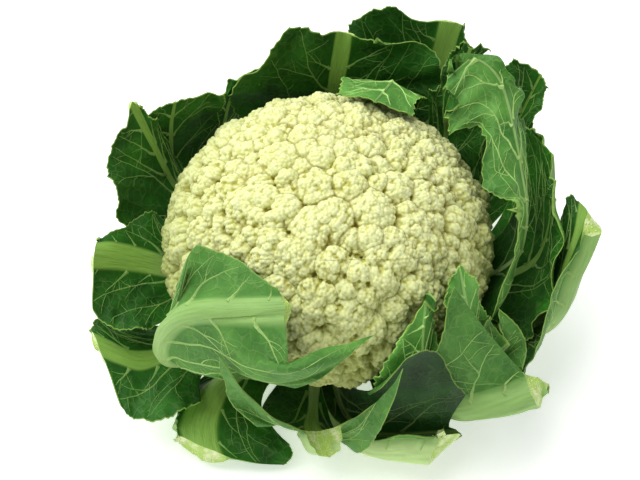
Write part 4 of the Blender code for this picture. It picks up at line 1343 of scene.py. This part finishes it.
        "leaf_back_outer",
        rib=[(70, 22, 8), (68, 62, 12), (64, 99, 34), (61, 112, 70), (59, 121, 112)],
        left=[(79, 62, 14), (88, 97, 40), (88, 109, 75), (84, 109, 105), (78, 105, 122)],
        right=[(58, 62, 14), (50, 99, 38), (48, 112, 70), (51, 120, 95), (55, 126, 110)],
        width=(14, 17), depth=(6, 5), rows=10, cols=9,
        frill=Frill(lobe=3.0, tooth=1.6, rib=(1.0, 1.0), tone=1.15, tips=((-1, 8), (-0.5, -2),
                    (0, 0), (1, 0))),
    ),
    LeafForm(
        "leaf_front_left_flat",
        rib=[(223, 22, 8), (221, 62, 13), (225, 80, 17), (230, 96, 16), (235, 106, 14)],
        left=[(238, 60, 10), (250, 76, 9), (259, 85, 7), (257, 92, 6)],
        right=[(213, 62, 12), (216, 82, 16), (222, 99, 16), (228, 107, 14)],
        width=(12, 27), depth=(4, 8), bevel=-0.5, wave=(0.5, 2, 0), rows=10, cols=9,
        frill=Frill(lobe=1.0, tooth=1.0, ending=Ending.CUT, rib=(1.0, 1.0), tone=1.15,
                    pale_stalk=0.3),
    ),
)

# The florets that the light falls on, from the crown down: azimuth, degrees from straight up, radius
FLORETS: tuple[tuple[int, int, int], ...] = (
    (152, 4, 8), (328, 8, 6), (42, 10, 9), (248, 16, 13), (304, 16, 10), (348, 16, 6), (30, 20, 10),
    (122, 20, 10), (208, 20, 6), (172, 24, 15), (334, 24, 6), (144, 28, 6), (8, 30, 6), (64, 30, 9),
    (232, 30, 9), (274, 30, 13), (198, 32, 9), (212, 32, 8), (308, 32, 15), (340, 32, 10), (24, 34, 6),
    (258, 34, 13), (88, 36, 9), (230, 36, 6), (4, 40, 9), (144, 40, 8), (160, 40, 8), (260, 40, 7),
    (296, 40, 8), (328, 40, 6), (204, 42, 13), (42, 44, 8), (188, 44, 10), (236, 44, 9), (246, 44, 6),
    (308, 44, 7), (224, 46, 6), (346, 46, 13), (22, 48, 8), (252, 48, 15), (272, 48, 10), (296, 48, 8),
    (324, 48, 13), (6, 52, 7), (32, 52, 6), (172, 52, 8), (196, 52, 8), (224, 52, 6), (236, 52, 8),
    (284, 52, 8), (300, 52, 7), (308, 52, 10), (176, 56, 10), (262, 56, 6), (278, 56, 6), (294, 56, 10),
    (322, 56, 14), (268, 58, 7), (2, 60, 8), (188, 60, 6), (248, 60, 9), (286, 60, 6), (344, 60, 10),
    (200, 62, 10), (228, 64, 9), (264, 64, 9), (272, 64, 6), (306, 64, 8), (358, 66, 8), (180, 68, 7),
    (240, 68, 9), (278, 68, 14), (296, 68, 8), (190, 70, 8), (312, 70, 10), (196, 72, 8), (208, 72, 10),
    (286, 72, 8), (332, 72, 8), (252, 74, 9), (352, 74, 6), (264, 76, 8), (270, 76, 6), (280, 76, 8),
    (306, 78, 9), (228, 80, 8), (240, 80, 8), (290, 84, 8), (336, 84, 6), (330, 86, 8), (270, 88, 8),
    (314, 92, 8), (326, 92, 8), (324, 96, 6),
)


# The head


@dataclass(frozen=True)
class Head:
    """The head: florets that carry buds, which carry grains, in six patches that meet edge to edge."""

    radius: float = 82.0
    rise: float = 66.0
    drop: float = 28.0
    widest: float = 62.0
    bottom: float = 34.0
    stem_radius: float = 21.0
    undercut: float = 0.28
    core_share: float = 0.93
    rim_florets: int = 64
    rim_first_lean: float = 12.0
    rim_lean_span: float = 92.0
    rim_crowding: float = 0.7
    rim_floret_radius: float = 9.0
    rim_floret_growth: float = 4.0
    rim_floret_variation: float = 1.5
    floret_distance: float = 70.0
    floret_overlap: float = 0.62
    floret_stagger: float = 0.8
    gap_trials: int = 900
    gap_share: float = 0.94
    gap_radius: tuple[float, float] = (7.0, 9.0)
    gap_sink: tuple[float, float] = (1.0, 2.5)
    seed: int = 4
    spiral_drop: float = 1.55
    flatness: float = 0.1
    straight_share: float = 0.78
    outward_share: float = 0.22
    cleft_width: float = 3.0
    cleft_share: float = 0.55
    proud_share: float = 0.45
    cleft_depth: float = 0.06
    batch: int = 20000
    bud_trials: int = 16000
    grain_trials: int = 90000
    bump_low: float = 0.72
    bump_sink: float = 0.85
    bump_turn: float = 0.8
    bud_spacing: float = 4.4
    bud_radius: float = 4.4
    grain_spacing: float = 1.7
    grain_radius: float = 1.6
    fine_points: int = 268
    underside_points: int = 61
    low_rows: int = 10
    lowest_fine: float = 22.0

    def _reach(self, direction: np.ndarray) -> np.ndarray:
        """How far the plain dome under the florets reaches from the head's widest level."""
        upright = np.where(direction[..., 2] > 0, self.rise, self.drop)
        across = np.hypot(direction[..., 0], direction[..., 1]) / self.radius
        return 1 / np.sqrt(across**2 + (direction[..., 2] / upright) ** 2)

    def _direction(self, azimuth: float, polar: float) -> np.ndarray:
        """The unit direction at an azimuth, at an angle from straight up, both in degrees."""
        turn, lean = math.radians(azimuth), math.radians(polar)
        return np.array([math.sin(lean) * math.cos(turn), math.sin(lean) * math.sin(turn), math.cos(lean)])

    def _florets(self) -> tuple[np.ndarray, np.ndarray]:
        """Centres and radii of the balls whose union is the head, as in the CAD model."""
        chance = np.random.default_rng(self.seed)
        found = [(self._direction(azimuth, polar), radius) for azimuth, polar, radius in FLORETS]
        for index in range(self.rim_florets):
            along = (index + 0.5) / self.rim_florets
            lean = self.rim_first_lean + self.rim_lean_span * along**self.rim_crowding
            direction = self._direction(math.degrees(index * GOLDEN_ANGLE), lean)
            variation = chance.uniform(-self.rim_floret_variation, self.rim_floret_variation)
            radius = round(self.rim_floret_radius + self.rim_floret_growth * along + variation)
            gaps = [np.linalg.norm(direction - other) * self.floret_distance for other, _ in found]
            if all(gap > self.floret_overlap * (radius + size) for gap, (_, size) in zip(gaps, found)):
                found.append((direction, radius))
        centres = []
        for direction, radius in found:
            stagger = chance.uniform(-self.floret_stagger, self.floret_stagger)
            centres.append(direction * (self._reach(direction) + stagger - radius))
        radii = [float(radius) for _, radius in found]
        for direction in self._spiral(self.gap_trials, 0.0, 13):
            plain_reach = self._reach(direction)
            along = np.array(centres) @ direction
            inside = np.array(radii) ** 2 - (np.array(centres) ** 2).sum(axis=1) + along**2
            balls = along + np.sqrt(np.maximum(inside, 0))
            if np.max(balls, where=inside > 0, initial=0) < self.gap_share * plain_reach:
                radii.append(float(chance.uniform(*self.gap_radius)))
                centres.append(direction * (plain_reach - chance.uniform(*self.gap_sink) - radii[-1]))
        return np.array(centres), np.array(radii)

    def _limit(self, directions: np.ndarray) -> np.ndarray:
        """How far down the head may reach: to its flat foot, and outside that to a cone over the leaves."""
        across = np.hypot(directions[:, 0], directions[:, 1])
        drop = self.widest - self.bottom
        foot = drop / np.maximum(-directions[:, 2], 1e-6)
        slope = np.maximum(self.undercut * across - directions[:, 2], 1e-6)
        return np.minimum(foot, (drop + self.undercut * self.stem_radius) / slope)

    def _floret_level(self, directions: np.ndarray, centres: np.ndarray, radii: np.ndarray) -> tuple:
        """Points on the florets in each direction.

        Returns:
            The points from the head's middle, the directions that buds grow in, and how far out of
            a cleft they are.
        """
        points, grows, relief = [], [], []
        for part in np.array_split(directions, max(1, len(directions) // self.batch)):
            along = part @ centres.T
            inside = radii**2 - (centres**2).sum(axis=1) + along**2
            balls = np.where(inside > 0, along + np.sqrt(np.maximum(inside, 0)), 0)
            best = balls.argmax(axis=1)
            ranked = np.partition(balls, -2, axis=1)
            plain = self._reach(part)
            round_reach = np.maximum(ranked[:, -1], self.core_share * plain)
            reach = np.minimum(round_reach * (1 - self.flatness) + plain * self.flatness, self._limit(part))
            place = part * reach[:, None]
            out = (part * round_reach[:, None] - centres[best]) / radii[best][:, None]
            grow = self.straight_share * part + self.outward_share * out
            grows.append(unit(grow))
            points.append(place)
            apart = np.clip((ranked[:, -1] - ranked[:, -2]) / self.cleft_width, 0, 1)
            proud = np.clip((round_reach / plain - self.gap_share) / self.cleft_depth, 0, 1)
            relief.append(self.cleft_share * apart + self.proud_share * proud)
        return np.concatenate(points), np.concatenate(grows), np.concatenate(relief)

    def _bumps(self, points: np.ndarray, grows: np.ndarray, seeds: "Seeds") -> tuple:
        """Raises points into the round bumps over their nearest seeds.

        Returns:
            The moved points, the directions that smaller bumps grow in, and the height of each bump
            from 0 to 1.
        """
        found = np.array([[entry[1] for entry in seeds.tree.find_n(Vector(point), 3)] for point in points])
        offsets = points[:, None] - seeds.places[found]
        gap = (offsets**2).sum(axis=2)
        heights = np.sqrt(np.maximum(seeds.radii[found] ** 2 - gap, 0))
        best = heights.argmax(axis=1)
        rows = np.arange(len(points))
        height = heights[rows, best]
        low, high = seeds.radius * self.bump_low, seeds.radius
        moved = points + grows * (height - self.bump_sink * seeds.radius)[:, None]
        out = offsets[rows, best] / seeds.radius
        turned = unit(grows + self.bump_turn * out)
        return moved, turned, np.clip((height - low) / (high - low), 0, 1)

    def _spiral(self, count: int, jitter: float, seed: int) -> np.ndarray:
        """Directions spread over the upper part of the sphere."""
        chance = np.random.default_rng(seed)
        index = np.arange(count) + 0.5
        height = 1 - self.spiral_drop * index / count
        azimuth = index * GOLDEN_ANGLE + chance.uniform(-jitter, jitter, count)
        across = np.sqrt(1 - height**2)
        return np.stack([across * np.cos(azimuth), across * np.sin(azimuth), height], axis=1)

    def _patch(self, name: str) -> np.ndarray:
        """The directions of one patch, as rows and columns of a cube's side seen from the head's middle."""
        fine = np.tan(np.radians(np.linspace(-45, 45, self.fine_points)))
        if name == "crown":
            x, y = np.meshgrid(fine, fine, indexing="xy")
            grid = np.stack([x, y, np.ones_like(x)], axis=-1)
        elif name == "underside":
            coarse = np.tan(np.radians(np.linspace(-45, 45, self.underside_points)))
            x, y = np.meshgrid(coarse, -coarse, indexing="xy")
            grid = np.stack([x, y, -np.ones_like(x)], axis=-1)
        else:
            turn = math.radians({"right": 0, "back": 90, "left": 180, "front": 270}[name])
            count = round(self.fine_points * (45 + self.lowest_fine) / 90)
            low = np.linspace(-45, -self.lowest_fine, self.low_rows)[:-1]
            down = np.concatenate([low, np.linspace(-self.lowest_fine, 45, count)])
            side, level = np.meshgrid(fine, np.tan(np.radians(down)), indexing="xy")
            grid = np.stack([
                math.cos(turn) - side * math.sin(turn), math.sin(turn) + side * math.cos(turn), level
            ], axis=-1)
        return unit(grid)

    def build(self, material: bpy.types.Material) -> None:
        """Makes the six patches, each a wedge that closes at the head's middle."""
        centres, radii = self._florets()
        bud_candidates, _, _ = self._floret_level(self._spiral(self.bud_trials, 0.05, 11), centres, radii)
        buds = Seeds(bud_candidates, self.bud_spacing, self.bud_radius, 21)
        places, grows, _ = self._floret_level(self._spiral(self.grain_trials, 0.02, 12), centres, radii)
        grain_candidates, _, _ = self._bumps(places, grows, buds)
        grains = Seeds(grain_candidates, self.grain_spacing, self.grain_radius, 22)
        middle = np.array([0.0, 0.0, self.widest])
        for name in ("crown", "front", "left", "right", "back", "underside"):
            grid = self._patch(name)
            rows, cols = grid.shape[:2]
            points, grows, floret = self._floret_level(grid.reshape(-1, 3), centres, radii)
            points, grows, bud = self._bumps(points, grows, buds)
            points, _, grain = self._bumps(points, grows, grains)
            relief = np.stack([floret, bud, grain], axis=1)
            piece = Piece("curd_" + name)
            piece.add(points + middle, [grid_quads(rows, cols)], relief=relief)
            index = np.arange(rows * cols).reshape(rows, cols)
            rim = np.array([*index[0, :-1], *index[:-1, -1], *index[-1, :0:-1], *index[:0:-1, 0]])
            hub = piece.add(middle[None], [], relief=np.zeros((1, 3)))
            piece.faces.append(np.stack([rim, np.roll(rim, -1), np.full(len(rim), hub)], axis=1))
            piece.make(material, "curd", "curd", flat=len(rim))


class Seeds:
    """Places that bumps grow over, at least a given distance apart, and each with a size of its own."""

    def __init__(self, candidates: np.ndarray, spacing: float, radius: float, seed: int) -> None:
        """Thins the candidates out.

        Args:
            candidates: Points to choose from, in order.
            spacing: Least distance between two that stay.
            radius: Usual radius of a bump.
            seed: For the sizes.
        """
        taken: dict[tuple[int, int, int], list[tuple[float, float, float]]] = {}
        kept: list[tuple[float, float, float]] = []
        least = spacing**2
        around = [(i, j, k) for i in (-1, 0, 1) for j in (-1, 0, 1) for k in (-1, 0, 1)]
        for x, y, z in candidates.tolist():
            cell = (int(x // spacing), int(y // spacing), int(z // spacing))
            near = (taken.get((cell[0] + i, cell[1] + j, cell[2] + k), ()) for i, j, k in around)
            others = (place for group in near for place in group)
            if all((x - a) ** 2 + (y - b) ** 2 + (z - c) ** 2 >= least for a, b, c in others):
                taken.setdefault(cell, []).append((x, y, z))
                kept.append((x, y, z))
        self.places = np.array(kept)
        self.radius = radius
        self.radii = radius * np.random.default_rng(seed).uniform(0.88, 1.12, len(kept))
        self.tree = KDTree(len(kept))
        for index, place in enumerate(kept):
            self.tree.insert(Vector(place), index)
        self.tree.balance()


@dataclass(frozen=True)
class Stump:
    """The cut stem: a stump with a slight waist, the scars of lower leaves and a flat cut face."""

    radius: float = 21.0
    neck: float = 20.0
    top: float = 33.65
    sides: int = 120
    levels: int = 40
    rings: int = 24
    pith_height: float = 0.5

    def build(self, material: bpy.types.Material) -> None:
        """Makes the stump, closed at both ends."""
        turn = np.linspace(0, 2 * math.pi, self.sides, endpoint=False)
        height = np.linspace(0, self.top, self.levels)
        heights = [0, 1.2, 8, 18, self.top]
        widths = [self.radius - 0.8, self.radius, self.radius, self.neck, self.neck]
        waist = np.interp(height, heights, widths)
        a, z = np.meshgrid(turn, height)
        ribs = 0.25 * np.cos(a * 23 + z * 0.05)
        lobes = 0.3 * np.cos(a * 5 + 1)
        scars = 0.25 * np.cos(z * 0.9 + 2 * np.cos(a * 3))
        ridges = ribs + lobes + scars
        radius = waist[:, None] - 0.5 + ridges * smooth_rise(z, 0, 3)
        side = np.stack([radius * np.cos(a), radius * np.sin(a), z], axis=-1)
        out = np.linspace(1, 0, self.rings + 1)[:-1]
        a, share = np.meshgrid(turn, out)
        fibres = 0.25 * (1 + np.cos(a * 37 + share * 9)) * share * (1 - share)
        hollow = fibres + self.pith_height * (1 - smooth_rise(share, 0.1, 0.6))
        face = np.stack([share * radius[0] * np.cos(a), share * radius[0] * np.sin(a), hollow], axis=-1)
        piece = Piece("stem_stump")
        skin = np.zeros((*side.shape[:2], 3))
        skin[..., 1] = 1
        self._rings(piece, side, skin, turned=False)
        cut = np.stack([np.ones_like(share), share, 0 * share], axis=-1)
        self._rings(piece, face, cut, turned=True)
        self._cap(piece, side[-1], self.top, (0, 1, 0), turned=False)
        self._cap(piece, face[-1], self.pith_height, (1, 0, 0), turned=True)
        piece.make(material, "stem", "stem", crease=40)

    def _rings(self, piece: Piece, points: Grid, kept: Grid, turned: bool) -> None:
        """Adds rings of points with faces between them."""
        rows, cols = points.shape[:2]
        index = np.arange(rows * cols).reshape(rows, cols) + piece.count
        beyond = np.roll(index, -1, axis=1)
        corners = [index[:-1], beyond[:-1], beyond[1:], index[1:]]
        if turned:
            corners.reverse()
        piece.add(points, [np.stack(corners, axis=-1).reshape(-1, 4)], stump=kept)

    def _cap(self, piece: Piece, ring: np.ndarray, height: float, kept: tuple, turned: bool) -> None:
        """Closes a ring with a fan about its middle."""
        numbers = np.tile(np.array(kept, float), (len(ring) + 1, 1))
        first = piece.add(np.concatenate([ring, [[0, 0, height]]]), [], stump=numbers)
        rim = np.arange(len(ring)) + first
        beyond = np.roll(rim, -1)
        hub = np.full(len(ring), first + len(ring))
        piece.faces.append(np.stack([beyond, rim, hub] if turned else [rim, beyond, hub], axis=1))


# The studio


@dataclass(frozen=True)
class Studio:
    """A pale floor under soft light, and a camera that looks down on the front of the head."""

    elevation: float = 50.0
    distance: float = 0.9
    lens: float = 103.8
    target: tuple[float, float, float] = (-0.0039, 0.0022, 0.0639)
    floor_half: float = 4.0
    world_light: float = 0.38
    key_power: float = 31.0
    fill_power: float = 1.0
    floor_glow: float = 0.45

    def build(self) -> None:
        """Makes the floor, the lights and the camera."""
        scene = bpy.context.scene
        scene.view_settings.view_transform = "Standard"
        self._floor()
        self._world()
        self._light("key", (-0.6, 0.3, 1.5), 1.7, self.key_power)
        self._light("fill", (0.5, -1.1, 0.9), 1.2, self.fill_power)
        camera = bpy.data.objects.new("camera", bpy.data.cameras.new("camera"))
        scene.collection.objects.link(camera)
        lean = math.radians(self.elevation)
        back = Vector((0, -math.cos(lean), math.sin(lean)))
        camera.location = Vector(self.target) + back * self.distance
        camera.rotation_mode = "QUATERNION"
        camera.rotation_quaternion = (-back).to_track_quat("-Z", "Y")
        camera.data.sensor_width = 36.0
        camera.data.lens = self.lens
        scene.camera = camera

    def _floor(self) -> None:
        """A plain pale floor."""
        half = self.floor_half
        mesh = bpy.data.meshes.new("floor")
        corners = [(-half, -half, 0), (half, -half, 0), (half, half, 0), (-half, half, 0)]
        mesh.from_pydata(corners, [], [(0, 1, 2, 3)])
        net = Net("floor")
        net.feed(net.shader.inputs["Emission Color"], (1.0, 1.0, 1.0, 1.0))
        net.feed(net.shader.inputs["Emission Strength"], self.floor_glow)
        mesh.materials.append(net.finish(linear(250, 250, 248), 0.9))
        floor = bpy.data.objects.new("floor", mesh)
        bpy.context.scene.collection.objects.link(floor)
        floor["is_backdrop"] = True

    def _world(self) -> None:
        """Even light from all round."""
        world = bpy.data.worlds.new("studio")
        world.use_nodes = True
        background = world.node_tree.nodes["Background"]
        background.inputs["Color"].default_value = linear(252, 254, 255)
        background.inputs["Strength"].default_value = self.world_light
        bpy.context.scene.world = world

    def _light(self, name: str, place: tuple[float, float, float], size: float, power: float) -> None:
        """A square soft light that faces the head."""
        data = bpy.data.lights.new(name, "AREA")
        data.energy = power
        data.size = size
        light = bpy.data.objects.new(name, data)
        bpy.context.scene.collection.objects.link(light)
        light.location = place
        light.rotation_mode = "QUATERNION"
        light.rotation_quaternion = (Vector(self.target) - Vector(place)).to_track_quat("-Z", "Y")


class Rosette:
    """The leaves round the head, laid one over the other from the innermost out."""

    def __init__(self, nodes: dict[str, bpy.types.Object], box: tuple[np.ndarray, np.ndarray]) -> None:
        """Takes the CAD nodes and the box that the leaves stay in, in millimetres."""
        self.nodes = nodes
        self.box = box

    def _as_tree(self, names: list[str]) -> BVHTree:
        """The solids of some CAD nodes, in millimetres."""
        points: list[tuple] = []
        faces: list[tuple] = []
        for name in names:
            mesh = self.nodes[name].data
            first = len(points)
            points += [tuple(vertex.co / MM) for vertex in mesh.vertices]
            faces += [tuple(first + index for index in polygon.vertices) for polygon in mesh.polygons]
        return BVHTree.FromPolygons(points, faces)

    def build(self) -> None:
        """Makes the leaves."""
        material = LeafFinish().make("leaf_blade")
        names = ["curd", "stem"]
        surfaces = [self._as_tree(["curd"])]
        for number, form in enumerate(LEAVES, 1):
            sheet = LeafSheet(form)
            sheet.settle(self._as_tree(names))
            names.append(form.name)
            blade = LeafBlade(sheet, number)
            blade.settle(surfaces)
            surfaces.append(blade.surface())
            blade.dress(self.box, material)


def plain(corners: tuple[Vector, Vector]) -> list[list[float]]:
    """A box as plain lists of numbers."""
    return [list(corner) for corner in corners]


def main() -> None:
    """Builds the cauliflower round its CAD model, part by part."""
    logging.basicConfig(level=logging.INFO, format="%(message)s")
    for obj in list(bpy.data.objects):
        bpy.data.objects.remove(obj)
    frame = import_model()
    cad_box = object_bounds()
    low = np.array(cad_box[0]) / MM + BOX_INSET
    high = np.array(cad_box[1]) / MM - BOX_INSET
    Studio().build()
    Head().build(CurdFinish().make("curd_florets"))
    Stump().build(StumpFinish().make("stem_flesh"))
    Rosette(frame["nodes"], (low, high)).build()


if __name__ == "__main__":
    main()
